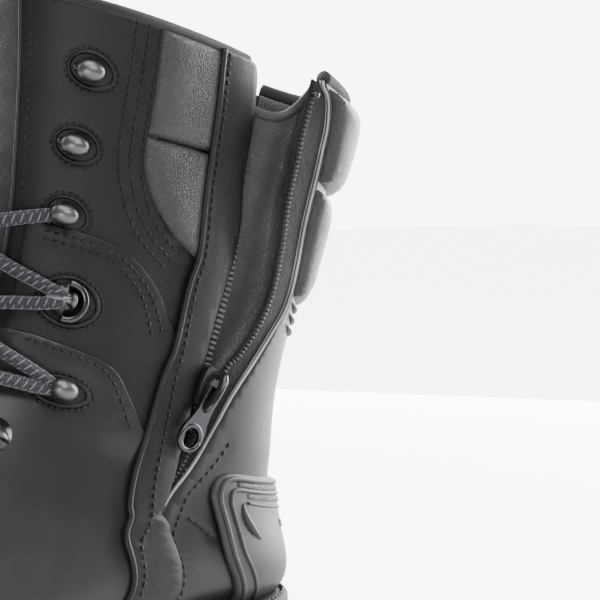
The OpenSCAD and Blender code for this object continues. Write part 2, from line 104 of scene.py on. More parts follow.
def skin(row, turn):
    """The point of the last at row and turn."""
    row, turn = np.broadcast_arrays(np.asarray(row, float), np.asarray(turn, float))
    s = np.moveaxis(station(row), -1, 0)
    c, v = np.cos(2 * np.pi * turn), np.sin(2 * np.pi * turn)
    u = np.sign(c) * np.abs(c) ** (2 / s[6])
    v = np.sign(v) * np.abs(v) ** (2 / s[6])
    return np.stack([(s[0] + s[2]) / 2 + (s[0] - s[2]) / 2 * u,
                     s[5] - s[4] * v * (1 - s[7] * u),
                     (s[1] + s[3]) / 2 + (s[1] - s[3]) / 2 * u], -1)


def outward(row, turn):
    """The last's outward normal."""
    down = skin(row + 0.01, turn) - skin(row - 0.01, turn)
    round_ = skin(row, turn + 0.003) - skin(row, turn - 0.003)
    n = np.cross(down, round_)
    return n / np.maximum(np.linalg.norm(n, axis=-1, keepdims=True), 1e-9)


def at(row, turn, lift=0.0):
    """A point lift mm outside the last."""
    row, turn = np.asarray(row, float), np.asarray(turn, float)
    return skin(row, turn) + outward(row, turn) * np.asarray(lift, float)[..., None]


def spin(p, angle):
    """Turns points about the flap's hinge by angle, radians."""
    v = np.asarray(p, float) - HINGE
    a = np.asarray(angle, float)[..., None]
    return (HINGE + v * np.cos(a) + np.cross(HINGE_DIR, v) * np.sin(a)
            + (v @ HINGE_DIR)[..., None] * HINGE_DIR * (1 - np.cos(a)))


def smooth(x):
    """0 below 0, 1 above 1, and a soft step between."""
    x = np.clip(x, 0, 1)
    return x * x * (3 - 2 * x)


def look(values, row):
    """The value at row in a list with one value per row."""
    return np.interp(row, np.arange(len(values)), values)


def front_edge(row):
    return look(FRONT_EDGE, row)


def bed(x):
    """Height of the foot bed at x."""
    return np.interp(-np.asarray(x), [-p[0] for p in BED], [p[1] for p in BED])


def fixed(row, turn, lift=0.0):
    """A point on the part of the upper that doesn't swing."""
    return at(row, turn, lift)


def swung(row, turn, lift=0.0):
    """A point on the rear quarter, standing open."""
    row, turn = np.broadcast_arrays(np.asarray(row, float), np.asarray(turn, float))
    return spin(at(row, turn, lift), np.full(row.shape, -OPEN_ANGLE))


# Between these heights the leather bends over from the foot to the flap
BEND_LOW, BEND_HIGH = 50.0, 88.0


def bending(row, turn, lift=0.0):
    """A point on the leather that is fixed at the heel and swings above it."""
    p = at(*np.broadcast_arrays(np.asarray(row, float), np.asarray(turn, float)), lift)
    w = np.zeros(p.shape[:-1])
    for _ in range(24):
        z = spin(p, -OPEN_ANGLE * w)[..., 2]
        w = 0.5 * w + 0.5 * smooth((z - BEND_LOW) / (BEND_HIGH - BEND_LOW))
    return spin(p, -OPEN_ANGLE * w)


def bend(obj):
    """Bakes obj's transform into its mesh; its points already follow the bending leather."""
    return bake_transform(obj)


# ---------------------------------------------------------------- materials
def material(name, color, rough, metal=0.0, bump=None, tint=0.0, coat=0.0, sheen=0.0,
             rough_var=0.0, spec=0.5):
    """bump is a list of (kind, scale per metre, strength, distance)."""
    m = bpy.data.materials.new(name)
    m.use_nodes = True
    nt = m.node_tree
    b = nt.nodes["Principled BSDF"]
    b.inputs["Metallic"].default_value = metal
    b.inputs["Roughness"].default_value = rough
    b.inputs["Base Color"].default_value = (*color, 1)
    b.inputs["Specular IOR Level"].default_value = spec
    b.inputs["Coat Weight"].default_value = coat
    b.inputs["Coat Roughness"].default_value = 0.25
    b.inputs["Sheen Weight"].default_value = sheen
    tc = nt.nodes.new("ShaderNodeTexCoord")
    obj = tc.outputs["Object"]

    def noise(scale, detail=3.0):
        n = nt.nodes.new("ShaderNodeTexNoise")
        n.inputs["Scale"].default_value = scale
        n.inputs["Detail"].default_value = detail
        nt.links.new(obj, n.inputs["Vector"])
        return n.outputs["Fac"]

    if tint:
        ramp = nt.nodes.new("ShaderNodeValToRGB")
        ramp.color_ramp.elements[0].position = 0.3
        ramp.color_ramp.elements[1].position = 0.72
        ramp.color_ramp.elements[0].color = (*[c * (1 - tint) for c in color], 1)
        ramp.color_ramp.elements[1].color = (*[min(1, c * (1 + tint)) for c in color], 1)
        nt.links.new(noise(55, 5), ramp.inputs["Fac"])
        nt.links.new(ramp.outputs["Color"], b.inputs["Base Color"])
    if rough_var:
        mr = nt.nodes.new("ShaderNodeMapRange")
        mr.inputs["To Min"].default_value = rough - rough_var
        mr.inputs["To Max"].default_value = rough + rough_var
        nt.links.new(noise(120, 4), mr.inputs["Value"])
        nt.links.new(mr.outputs["Result"], b.inputs["Roughness"])
    last = None
    for kind, scale, strength, distance in bump or []:
        if kind == "cells":
            tex = nt.nodes.new("ShaderNodeTexVoronoi")
            tex.feature = "DISTANCE_TO_EDGE"
            tex.inputs["Scale"].default_value = scale
            nt.links.new(obj, tex.inputs["Vector"])
            ramp = nt.nodes.new("ShaderNodeMapRange")
            ramp.inputs["From Max"].default_value = 0.18
            nt.links.new(tex.outputs["Distance"], ramp.inputs["Value"])
            height = ramp.outputs["Result"]
        elif kind == "weave":
            tex = nt.nodes.new("ShaderNodeTexWave")
            tex.inputs["Scale"].default_value = scale
            tex.inputs["Distortion"].default_value = 1.5
            nt.links.new(obj, tex.inputs["Vector"])
            height = tex.outputs["Fac"]
        else:
            height = noise(scale, 5)
        bp = nt.nodes.new("ShaderNodeBump")
        bp.inputs["Strength"].default_value = strength
        bp.inputs["Distance"].default_value = distance
        nt.links.new(height, bp.inputs["Height"])
        if last:
            nt.links.new(last, bp.inputs["Normal"])
        last = bp.outputs["Normal"]
    if last:
        nt.links.new(last, b.inputs["Normal"])
    return m


GRAIN = [("cells", 1500, 0.16, 0.0003), ("noise", 260, 0.10, 0.0006)]
LEATHER = material("full_grain_leather", (0.0100, 0.0098, 0.0118), 0.43, bump=GRAIN,
                   tint=0.25, rough_var=0.06, spec=0.36)
SMOOTH = material("waxed_leather", (0.015, 0.015, 0.0175), 0.36,
                  bump=[("cells", 1700, 0.07, 0.0002), ("noise", 160, 0.09, 0.0008)],
                  tint=0.2, rough_var=0.05)
NAPPA = material("nappa_leather", (0.030, 0.030, 0.034), 0.36,
                 bump=[("cells", 1150, 0.34, 0.0004), ("noise", 300, 0.16, 0.0007)],
                 tint=0.3, rough_var=0.05, sheen=0.15)
# The grey cut-edge colour is partly the raw edge of the leather and partly a painted highlight: the
# thin lit line along cut edges.
EDGE_HIGHLIGHT = material("raw_edge_and_painted_highlight", (0.42, 0.42, 0.43), 0.7,
                bump=[("noise", 900, 0.4, 0.0004)], tint=0.35)
THREAD = material("black_thread", (0.010, 0.010, 0.012), 0.5,
                  bump=[("weave", 900, 0.5, 0.0002)], tint=0.2)
TAPE = material("zip_tape", (0.028, 0.029, 0.031), 0.85, sheen=0.6,
                bump=[("noise", 1300, 0.9, 0.0006), ("weave", 520, 0.35, 0.0004)], tint=0.45)
SUEDE = material("split_suede", (0.007, 0.007, 0.008), 0.95, sheen=0.10,
                 bump=[("noise", 1700, 1.0, 0.0008), ("noise", 420, 0.6, 0.001)], tint=0.6)
# The front coil's grey is lighter than the black coil itself: a painted highlight on its lit teeth.
LIT_COIL = material("zip_coil", (0.12, 0.12, 0.125), 0.36,
                bump=[("noise", 900, 0.1, 0.0002)], tint=0.2)
BINDING = material("collar_binding", (0.018, 0.018, 0.02), 0.8, sheen=0.3,
                   bump=[("weave", 700, 0.6, 0.0004)], tint=0.3)
LINING = material("lining_mesh", (0.050, 0.050, 0.054), 0.85, sheen=0.3,
                  bump=[("cells", 700, 0.6, 0.0006)], tint=0.35)
RUBBER = material("counter_rubber", (0.034, 0.034, 0.037), 0.46,
                  bump=[("noise", 900, 0.14, 0.0003)], tint=0.2, rough_var=0.05)
TREAD = material("sole_rubber", (0.016, 0.016, 0.017), 0.62,
                 bump=[("noise", 700, 0.25, 0.0004)], tint=0.25)
KNURL = material("reflective_film", (0.09, 0.09, 0.095), 0.42, metal=0.25,
                 bump=[("cells", 900, 1.0, 0.0007)], tint=0.5)
GUNMETAL = material("gunmetal", (0.17, 0.17, 0.18), 0.38, metal=1.0,
                    bump=[("noise", 500, 0.04, 0.0002)], rough_var=0.05)
# The rear half of the same coil gets a darker copy of its colour: painted shade.
SHADED_COIL = material("zip_coil_painted_shade", (0.035, 0.035, 0.038), 0.4)
DARK_NICKEL = material("dark_nickel", (0.085, 0.085, 0.092), 0.24, metal=1.0,
                       bump=[("noise", 500, 0.04, 0.0002)], rough_var=0.05)
BLACK_METAL = material("black_enamel", (0.012, 0.012, 0.013), 0.16, coat=0.5,
                       bump=[("noise", 400, 0.03, 0.0002)], tint=0.15)
STEEL = material("spring_steel", (0.5, 0.5, 0.52), 0.3, metal=1.0, rough_var=0.06)
BOARD = material("fibre_board", (0.30, 0.23, 0.15), 0.8,
                 bump=[("noise", 500, 0.3, 0.0005)], tint=0.2)
SHELL = material("moulded_composite", (0.09, 0.09, 0.09), 0.5,
                 bump=[("noise", 300, 0.2, 0.0004)], tint=0.1)


def lace_material():
    """Round braid: two crossed spirals, with a yellow-green tracer on one side."""
    m = material("braided_lace", (0.05, 0.05, 0.055), 0.7, sheen=0.3)
    nt = m.node_tree
    b = nt.nodes["Principled BSDF"]
    uv = nt.nodes.new("ShaderNodeUVMap")
    sep = nt.nodes.new("ShaderNodeSeparateXYZ")
    nt.links.new(uv.outputs["UV"], sep.inputs["Vector"])

    def op(kind, a, c=None):
        n = nt.nodes.new("ShaderNodeMath")
        n.operation = kind
        for i, v in enumerate((a, c)):
            if v is None:
                continue
            if isinstance(v, (int, float)):
                n.inputs[i].default_value = v
            else:
                nt.links.new(v, n.inputs[i])
        return n.outputs[0]
    length, round_ = sep.outputs["X"], sep.outputs["Y"]
    # u counts millimetres along the lace, v one turn round it
    spiral = [op("SINE", op("ADD", op("MULTIPLY", length, 3.3),
                            op("MULTIPLY", round_, s * 2 * math.pi * 4))) for s in (1, -1)]
    braid = op("MULTIPLY", spiral[0], spiral[1])
    height = op("ADD", op("MULTIPLY", braid, 0.5), 0.5)
    beat = op("SINE", op("MULTIPLY", length, 1.15))
    fleck = op("GREATER_THAN", op("MULTIPLY", spiral[0], beat), 0.55)
    side = op("LESS_THAN", op("ABSOLUTE", op("SUBTRACT", round_, 0.62)), 0.07)
    tracer = op("MULTIPLY", op("MULTIPLY", side, op("GREATER_THAN", spiral[1], -0.1)),
                op("GREATER_THAN", op("SINE", op("MULTIPLY", length, 0.42)), -0.1))
    mix1 = nt.nodes.new("ShaderNodeMix")
    mix1.data_type = "RGBA"
    mix1.inputs[6].default_value = (0.022, 0.022, 0.028, 1)
    mix1.inputs[7].default_value = (0.17, 0.17, 0.20, 1)
    nt.links.new(fleck, mix1.inputs[0])
    mix2 = nt.nodes.new("ShaderNodeMix")
    mix2.data_type = "RGBA"
    mix2.inputs[7].default_value = (0.62, 0.80, 0.06, 1)
    nt.links.new(tracer, mix2.inputs[0])
    nt.links.new(mix1.outputs[2], mix2.inputs[6])
    nt.links.new(mix2.outputs[2], b.inputs["Base Color"])
    bp = nt.nodes.new("ShaderNodeBump")
    bp.inputs["Strength"].default_value = 0.9
    bp.inputs["Distance"].default_value = 0.0005
    nt.links.new(height, bp.inputs["Height"])
    nt.links.new(bp.outputs["Normal"], b.inputs["Normal"])
    return m


LACE = lace_material()


# ---------------------------------------------------------------- mesh tools
METRIC = np.array([25.0, 270.0])   # millimetres per row and per turn, roughly


def build(name, verts, faces, mat, shade=True):
    """A mesh object from points in millimetres."""
    me = bpy.data.meshes.new(name)
    me.from_pydata([tuple(v) for v in np.asarray(verts) * MM], [], faces)
    me.update()
    obj = bpy.data.objects.new(name, me)
    bpy.context.scene.collection.objects.link(obj)
    me.materials.append(mat)
    if shade:
        me.shade_smooth()
    return obj


def finish(obj, body):
    """Fixes obj to a body."""
    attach(obj, body)
    return obj


def facing_out(obj):
    """Turns every face outwards."""
    bm = bmesh.new()
    bm.from_mesh(obj.data)
    bmesh.ops.recalc_face_normals(bm, faces=bm.faces)
    bm.to_mesh(obj.data)
    bm.free()
    return obj


def bar_step(a, b, sides):
    """The faces between two rings of points, which start at a and b."""
    return [(a + k, a + (k + 1) % sides, b + (k + 1) % sides, b + k) for k in range(sides)]


def bar_ends(start, rings, sides):
    """The two end faces of a bar of rings, whose points start at start."""
    last = start + (rings - 1) * sides
    return [tuple(start + k for k in reversed(range(sides))),
            tuple(last + k for k in range(sides))]


def bar_faces(start, rings, sides):
    """All faces of such a bar."""
    steps = [f for q in range(rings - 1)
             for f in bar_step(start + q * sides, start + (q + 1) * sides, sides)]
    return steps + bar_ends(start, rings, sides)


def dense(points, step):
    """Points on a smooth curve through points (row, turn), about step apart."""
    p = np.asarray(points, float)
    out = []
    n = len(p)
    for i in range(n - 1):
        a, b, c, d = p[max(0, i - 1)], p[i], p[i + 1], p[min(n - 1, i + 2)]
        count = max(1, int(np.linalg.norm((c - b) * METRIC) / step))
        for k in range(count):
            f = k / count
            out.append(cubic(a, b, c, d, f))
    out.append(p[-1])
    return np.array(out)


def outline(*sides, step=1.6):
    """A closed outline from curves laid end to end; sharp where they meet."""
    parts = [dense(s, step) for s in sides]
    loop = [parts[0]]
    for part in parts[1:]:
        loop.append(part[1:] if np.allclose(part[0], loop[-1][-1]) else part)
    pts = np.concatenate(loop)
    if np.allclose(pts[0], pts[-1]):
        pts = pts[:-1]
    return pts


def seg_distance(p, poly, closed=True):
    """Distance of each point of p from the line poly."""
    a = poly
    b = np.roll(poly, -1, 0) if closed else poly[1:]
    a = a if closed else a[:-1]
    d = np.full(len(p), 1e9)
    for s, e in zip(a, b):
        v = e - s
        l2 = max(v @ v, 1e-9)
        t = np.clip(((p - s) @ v) / l2, 0, 1)
        d = np.minimum(d, np.linalg.norm(p - (s + t[:, None] * v), axis=1))
    return d


def inside(p, poly):
    """Which points of p lie within the outline poly."""
    x, y = p[:, 0], p[:, 1]
    res = np.zeros(len(p), bool)
    x1, y1 = poly[:, 0], poly[:, 1]
    x2, y2 = np.roll(x1, -1), np.roll(y1, -1)
    for a, b, c, d in zip(x1, y1, x2, y2):
        hit = ((b > y) != (d > y)) & (x < (c - a) * (y - b) / (d - b + 1e-12) + a)
        res ^= hit
    return res


def leather(name, loop, mat, low, high, place=fixed, step=2.4, crown=0.0, edge=0.9,
            seams=(), dents=(), edge_mat=None, crown_reach=9.0, wrinkle=0.0):
    """A piece of leather cut to loop (row, turn), its underside at height low
    and its face at high. crown swells the middle; seams are stitch lines that
    pull the face down; dents are (row, turn, radius, depth)."""
    poly = loop * METRIC
    lo, hi = poly.min(0), poly.max(0)
    gx, gy = np.arange(lo[0], hi[0], step), np.arange(lo[1], hi[1], step)
    grid = np.array([(x + (0.5 * step if j % 2 else 0), y)
                     for j, y in enumerate(gy) for x in gx])
    grid = grid[inside(grid, poly)]
    grid = grid[seg_distance(grid, poly) > 0.55 * step]
    rim = []
    if edge > 0.2:
        # two rows of points just inside the edge, so that it can roll over
        nxt, prv = np.roll(poly, -1, 0), np.roll(poly, 1, 0)
        tan = nxt - prv
        nrm = np.stack([tan[:, 1], -tan[:, 0]], 1)
        nrm /= np.maximum(np.linalg.norm(nrm, axis=1, keepdims=True), 1e-9)
        area = 0.5 * np.sum(poly[:, 0] * nxt[:, 1] - nxt[:, 0] * poly[:, 1])
        nrm *= -1 if area > 0 else 1
        for reach in (0.3 * edge, edge):
            q = poly + nrm * reach
            keep = inside(q, poly) & (seg_distance(q, poly) > reach * 0.85)
            rim.append(q[keep])
        grid = grid[seg_distance(grid, poly) > edge + 0.4 * step]
    pts = np.concatenate([poly] + rim + [grid])
    n = len(poly)
    res = delaunay_2d_cdt([Vector(p) for p in pts], [(i, (i + 1) % n) for i in range(n)],
                          [], 1, 1e-4)
    xy = np.array([tuple(v) for v in res[0]])
    tris = [tuple(f) for f in res[2]]
    used = sorted({i for f in tris for i in f})
    index = {v: k for k, v in enumerate(used)}
    xy = xy[used]
    tris = [tuple(index[i] for i in f) for f in tris]
    dist = seg_distance(xy, poly)
    t = np.clip(dist / max(edge, 1e-3), 0, 1)
    height = low + (high - low) * (0.35 + 0.65 * np.sqrt(np.clip(1 - (1 - t) ** 2, 0, 1)))
    if crown:
        height = height + crown * np.sqrt(np.clip(1 - (1 - np.clip(
            dist / crown_reach, 0, 1)) ** 2, 0, 1))
    for line in seams:
        d = seg_distance(xy, np.asarray(line) * METRIC, closed=False)
        height = height - 0.42 * np.exp(-(d / 1.1) ** 2)
    for row, turn, radius, depth in dents:
        d = np.linalg.norm(xy - np.array([row, turn]) * METRIC, axis=1)
        height = height - depth * np.exp(-(d / radius) ** 2)
    if wrinkle:
        height = height + wrinkle * (np.sin(xy[:, 0] * 0.55 + 1.7 * np.sin(xy[:, 1] * 0.16))
                                     * np.sin(xy[:, 1] * 0.23 + 0.8) * np.clip(dist / 8, 0, 1))
    rt = xy / METRIC
    top = place(rt[:, 0], rt[:, 1], height)
    bottom = place(rt[:, 0], rt[:, 1], np.full(len(rt), low))
    count = len(xy)
    # outline edges are those used by one triangle only
    edges = {}
    for f in tris:
        for a, b in ((f[0], f[1]), (f[1], f[2]), (f[2], f[0])):
            edges[(a, b)] = edges.get((a, b), 0) + 1
    border = [e for e in edges if (e[1], e[0]) not in edges]
    faces = list(tris) + [(f[2] + count, f[1] + count, f[0] + count) for f in tris]
    faces += [(b, a, a + count, b + count) for a, b in border]
    obj = build(name, np.concatenate([top, bottom]), faces, mat)
    facing_out(obj)
    obj.data.materials.append(edge_mat or mat)
    # edge_mat colours the side walls; where it is the grey cut-edge material the walls carry a
    # painted highlight line.
    if edge_mat:
        walls = len(border)
        total = len(obj.data.polygons)
        for poly_ in obj.data.polygons[total - walls:]:
            poly_.material_index = 1
    return obj


def grid_sheet(name, outer, inner, nf, ng, mat):
    """A closed sheet between outer(f, g) and inner(f, g), arrays of points."""
    f, g = np.meshgrid(np.linspace(0, 1, nf + 1), np.linspace(0, 1, ng + 1), indexing="ij")
    verts = np.concatenate([outer(f, g).reshape(-1, 3), inner(f, g).reshape(-1, 3)])
    w, n = ng + 1, (nf + 1) * (ng + 1)
    faces = []
    for i in range(nf):
        for j in range(ng):
            q = (i * w + j, i * w + j + 1, (i + 1) * w + j + 1, (i + 1) * w + j)
            faces.append(q)
            faces.append(tuple(n + k for k in reversed(q)))
    rim = ([(i * w, (i + 1) * w) for i in range(nf)]
           + [(nf * w + j, nf * w + j + 1) for j in range(ng)]
           + [((i + 1) * w + ng, i * w + ng) for i in reversed(range(nf))]
           + [(j + 1, j) for j in reversed(range(ng))])
    faces += [(a, b, b + n, a + n) for a, b in rim]
    return facing_out(build(name, verts, faces, mat))


def sweep(name, points, radius, mat, sides=12, flat=1.0, caps=True):
    """A tube along points (mm) with UVs in millimetres along it."""
    p = np.asarray(points, float)
    n = len(p)
    tan = np.gradient(p, axis=0)
    tan /= np.maximum(np.linalg.norm(tan, axis=1, keepdims=True), 1e-9)
    up = np.cross(tan[0], [0.0, 1.0, 0.0])
    if np.linalg.norm(up) < 1e-3:
        up = np.cross(tan[0], [1.0, 0.0, 0.0])
    up /= np.linalg.norm(up)
    rad = np.broadcast_to(np.asarray(radius, float), (n,))
    along = arc_lengths(p)
    rings = []
    for i in range(n):
        up = up - tan[i] * (up @ tan[i])
        up /= np.linalg.norm(up)
        side = np.cross(tan[i], up)
        ang = 2 * np.pi * np.arange(sides) / sides
        rings.append(p[i] + rad[i] * (np.cos(ang)[:, None] * up
                                      + flat * np.sin(ang)[:, None] * side))
    verts = np.concatenate(rings)
    faces = [(i * sides + k, i * sides + (k + 1) % sides,
              (i + 1) * sides + (k + 1) % sides, (i + 1) * sides + k)
             for i in range(n - 1) for k in range(sides)]
    if caps:
        faces.append(tuple(reversed(range(sides))))
        faces.append(tuple((n - 1) * sides + k for k in range(sides)))
    obj = facing_out(build(name, verts, faces, mat))
    uv = obj.data.uv_layers.new(name="UVMap")
    for poly in obj.data.polygons:
        ks = [obj.data.loops[li].vertex_index for li in poly.loop_indices]
        wrap = {k % sides for k in ks} >= {0, sides - 1} and len(ks) == 4
        for li, k in zip(poly.loop_indices, ks):
            v = k % sides
            v = sides if wrap and v == 0 else v
            uv.data[li].uv = (along[min(k // sides, n - 1)], v / sides)
    return obj


def arc_lengths(points):
    """Length along the line up to each of its points."""
    d = np.linalg.norm(np.diff(points, axis=0), axis=1)
    return np.concatenate([[0], np.cumsum(d)])


def resample(points, pitch):
    """The same line with points pitch apart."""
    s = arc_lengths(points)
    count = max(2, int(s[-1] / pitch) + 1)
    u = np.linspace(0, s[-1], count)
    return np.stack([np.interp(u, s, points[:, k]) for k in range(3)], 1)


def stitches(name, lines, body, height, place=fixed, pitch=3.1, length=2.15, thick=0.42,
             mat=THREAD):
    """Sewing along lines of (row, turn): each stitch dips into the leather. With no body the
    stitches are not attached to one."""
    verts, faces = [], []
    ring = [(math.cos(a), math.sin(a)) for a in np.linspace(0, 2 * math.pi, 6, endpoint=False)]
    for line in lines:
        rt = dense(line, 0.8)
        low = place(rt[:, 0], rt[:, 1], np.full(len(rt), height))
        up = place(rt[:, 0], rt[:, 1], np.full(len(rt), height + 1.0)) - low
        s = arc_lengths(low)
        for c in np.arange(pitch / 2, s[-1], pitch):
            base = len(verts)
            for off, lift, r in ((-0.5, -0.35, 0.55), (-0.25, 0.12, 1.0),
                                 (0.25, 0.12, 1.0), (0.5, -0.35, 0.55)):
                u = c + off * length
                p = np.array([np.interp(u, s, low[:, k]) for k in range(3)])
                n = np.array([np.interp(u, s, up[:, k]) for k in range(3)])
                n /= np.linalg.norm(n)
                d = np.array([np.interp(u + 0.1, s, low[:, k]) - np.interp(u - 0.1, s, low[:, k])
                              for k in range(3)])
                d /= max(np.linalg.norm(d), 1e-9)
                side = np.cross(n, d)
                for x, y in ring:
                    verts.append(p + n * (lift + y * thick * r) + side * x * thick * r)
            faces += bar_faces(base, 4, 6)
    obj = facing_out(build(name, verts, faces, mat))
    if body:
        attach(obj, body)
    return obj


def shifted(line, distance):
    """line (row, turn) moved sideways by distance mm, to its left as it runs."""
    p = dense(line, 2.0) * METRIC
    tan = np.gradient(p, axis=0)
    tan /= np.maximum(np.linalg.norm(tan, axis=1, keepdims=True), 1e-9)
    q = p + np.stack([-tan[:, 1], tan[:, 0]], 1) * distance
    return q[::2] / METRIC


def surface_frame(row, turn, lift, place=fixed):
    """Matrix of a seat on the upper: x backwards, y up, z outwards, metres."""
    o = place(np.array(row), np.array(turn), np.array(lift))
    z = place(np.array(row), np.array(turn), np.array(lift + 1.0)) - o
    z /= np.linalg.norm(z)
    x = place(np.array(row), np.array(turn + 0.01), np.array(lift)) - place(
        np.array(row), np.array(turn - 0.01), np.array(lift))
    x -= z * (x @ z)
    x /= np.linalg.norm(x)
    y = np.cross(z, x)
    m = Matrix.Identity(4)
    for i, axis in enumerate((x, y, z)):
        for k in range(3):
            m[k][i] = axis[k]
    for k in range(3):
        m[k][3] = o[k] * MM
    return m


# ---------------------------------------------------------------- camera
cam_data = bpy.data.cameras.new("view")
cam_data.lens = 151
cam_data.sensor_width = 36
camera = bpy.data.objects.new("view", cam_data)
bpy.context.scene.collection.objects.link(camera)
az, el = math.radians(-38), math.radians(4)
back = Vector((math.sin(az) * math.cos(el), -math.cos(az) * math.cos(el), math.sin(el)))
right = Vector((math.cos(az), math.sin(az), 0))
over = back.cross(right)
turned = Matrix((right, over, back)).transposed().to_4x4()
camera.matrix_world = Matrix.Translation((-0.5068, -0.7360, 0.2008)) @ turned
bpy.context.scene.camera = camera


# ---------------------------------------------------------------- laces
LACED = [(8.25, 0.108, 2.8), (7.25, 0.125, 3.2), (6.25, 0.150, 4.2),
         (5.22, 0.168, 4.4), (3.92, 0.145, 4.6), (2.81, 0.126, 3.2)]
LACE_R = 2.3
KNOT = at(2.45, 0.0, 5.0)
END_PATH = np.array([(-79, -5, 182), (-83, -8, 178), (-86, -11, 171), (-88, -13, 163),
                     (-91, -15, 154), (-95, -16, 146), (-100, -17, 139), (-106, -17, 132),
                     (-113, -17, 127), (-120, -16, 122), (-128, -15, 118),
                     (-136, -13, 114), (-144, -11, 110.5), (-152, -9, 107)], float)


def run(i, side, lift):
    """One crossing of the lace, from mount i to mount i + 1."""
    a, b = LACED[i], LACED[i + 1]
    f = np.arange(9) / 8
    turn = side * (a[1] + (-b[1] - a[1]) * f)
    height = a[2] + (b[2] - a[2]) * f + (1 + lift) * np.sin(np.pi * f)
    return at(a[0] + (b[0] - a[0]) * f, turn, height)


def flowing(points, pitch):
    """Points about pitch apart on a smooth curve through points."""
    p = np.asarray(points, float)
    p = np.concatenate([[2 * p[0] - p[1]], p, [2 * p[-1] - p[-2]]])
    out = []
    for i in range(1, len(p) - 2):
        for f in np.linspace(0, 1, 6, endpoint=False):
            a, b, c, d = p[i - 1], p[i], p[i + 1], p[i + 2]
            out.append(cubic(a, b, c, d, f))
    out.append(p[-2])
    return resample(np.array(out), pitch)


def strand(side, lift):
    """One end of the lace, crossing over at every mount."""
    runs = [run(i, side if i % 2 == 0 else -side, lift) for i in range(5)]
    pts = np.concatenate([runs[0]] + [r[1:] for r in runs[1:]])
    return flowing(pts[::2], 1.2)


def lace_piece(name, points, radius=LACE_R):
    """A length of lace that stays with the boot."""
    piece = sweep(name, points, radius, LACE, sides=20)
    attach(piece, "boot")
    return piece


lace_medial = lace_piece("lace_strand_medial", strand(1, 0))
lace_piece("lace_strand_lateral", strand(-1, 5.5))
foot_turn = np.linspace(-0.092, 0.092, 25)
lace_piece("lace_foot_bar", at(np.full(25, 8.5), foot_turn, np.full(25, 3.0)))
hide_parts("lace")
# the knot: a wrapped bow knot of three turns
wraps = []
for k in range(72):
    a = 2 * math.pi * k / 24
    wraps.append(KNOT + np.array([2.6 * math.cos(a), 3.4 * (k / 36 - 1) * 0.8,
                                  3.4 * math.sin(a)]))
knot = lace_piece("lace_knot", np.array(wraps), 1.9)

for name, node, side in (("lace_tail_medial", "lace_end_medial", 1),
                         ("lace_tail_lateral", "lace_end_lateral", -1)):
    line = flowing(END_PATH * np.array([1, side, 1]), 1.2)
    tail = lace_piece(name, line)
    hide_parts(node)
    tip_line = np.array([line[-1], line[-1] * 0.35 + np.array([-168, -5 * side, 99.5]) * 0.65])
    tip = sweep(name + "_tip", flowing(np.array([line[-1], tip_line[1]]), 2.0), 1.75,
                BLACK_METAL, sides=16)
    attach(tip, "boot")
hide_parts("lace_tips")


# ---------------------------------------------------------------- inner side
CUT_EDGE = [(0.06, 0.229), (0.30, 0.228), (0.85, 0.224), (1.40, 0.220), (1.85, 0.219),
            (2.15, 0.223), (2.52, 0.236), (2.80, 0.264)]
FACING_LEFT = [(0.04, 0.274), (1.51, 0.270), (2.15, 0.269), (2.80, 0.268), (3.23, 0.261),
               (4.04, 0.255), (4.50, 0.250), (5.29, 0.248), (6.09, 0.248), (6.8, 0.250),
               (7.36, 0.258), (7.9, 0.292), (8.5, 0.335), (8.95, 0.375)]
FACING_RIGHT = [(0.04, 0.316), (0.29, 0.323), (0.88, 0.322), (1.68, 0.318), (2.19, 0.321),
                (2.64, 0.316), (3.24, 0.301), (3.79, 0.291), (4.54, 0.279), (4.79, 0.275),
                (5.54, 0.268), (5.98, 0.266), (6.41, 0.263), (6.65, 0.261)]
OVER_A = [(2.97, 0.109), (2.99, 0.172), (3.09, 0.205), (3.37, 0.234), (3.69, 0.249),
          (4.04, 0.258)]
OVER_B = [(4.50, 0.118), (4.50, 0.139), (4.61, 0.205), (4.95, 0.230), (5.50, 0.250)]


def flip(line):
    """The same line on the outer side."""
    return [(r, 1 - t) for r, t in line]


def same(line):
    """The line as it is, on the inner side."""
    return list(line)


def overlay_b_lift(row, turn):
    """The lower quarter rides over the ankle overlay at its top edge."""
    t = np.minimum(turn, 1 - turn)
    xy = np.stack([row, t], -1) * METRIC
    d = seg_distance(xy, np.array(OVER_B) * METRIC, closed=False)
    return 1.3 * (1 - smooth(d / 14.0))


def raised(place, lift):
    """place, with lift(row, turn) added to every height."""
    return lambda row, turn, h: place(row, turn, h + lift(row, turn))


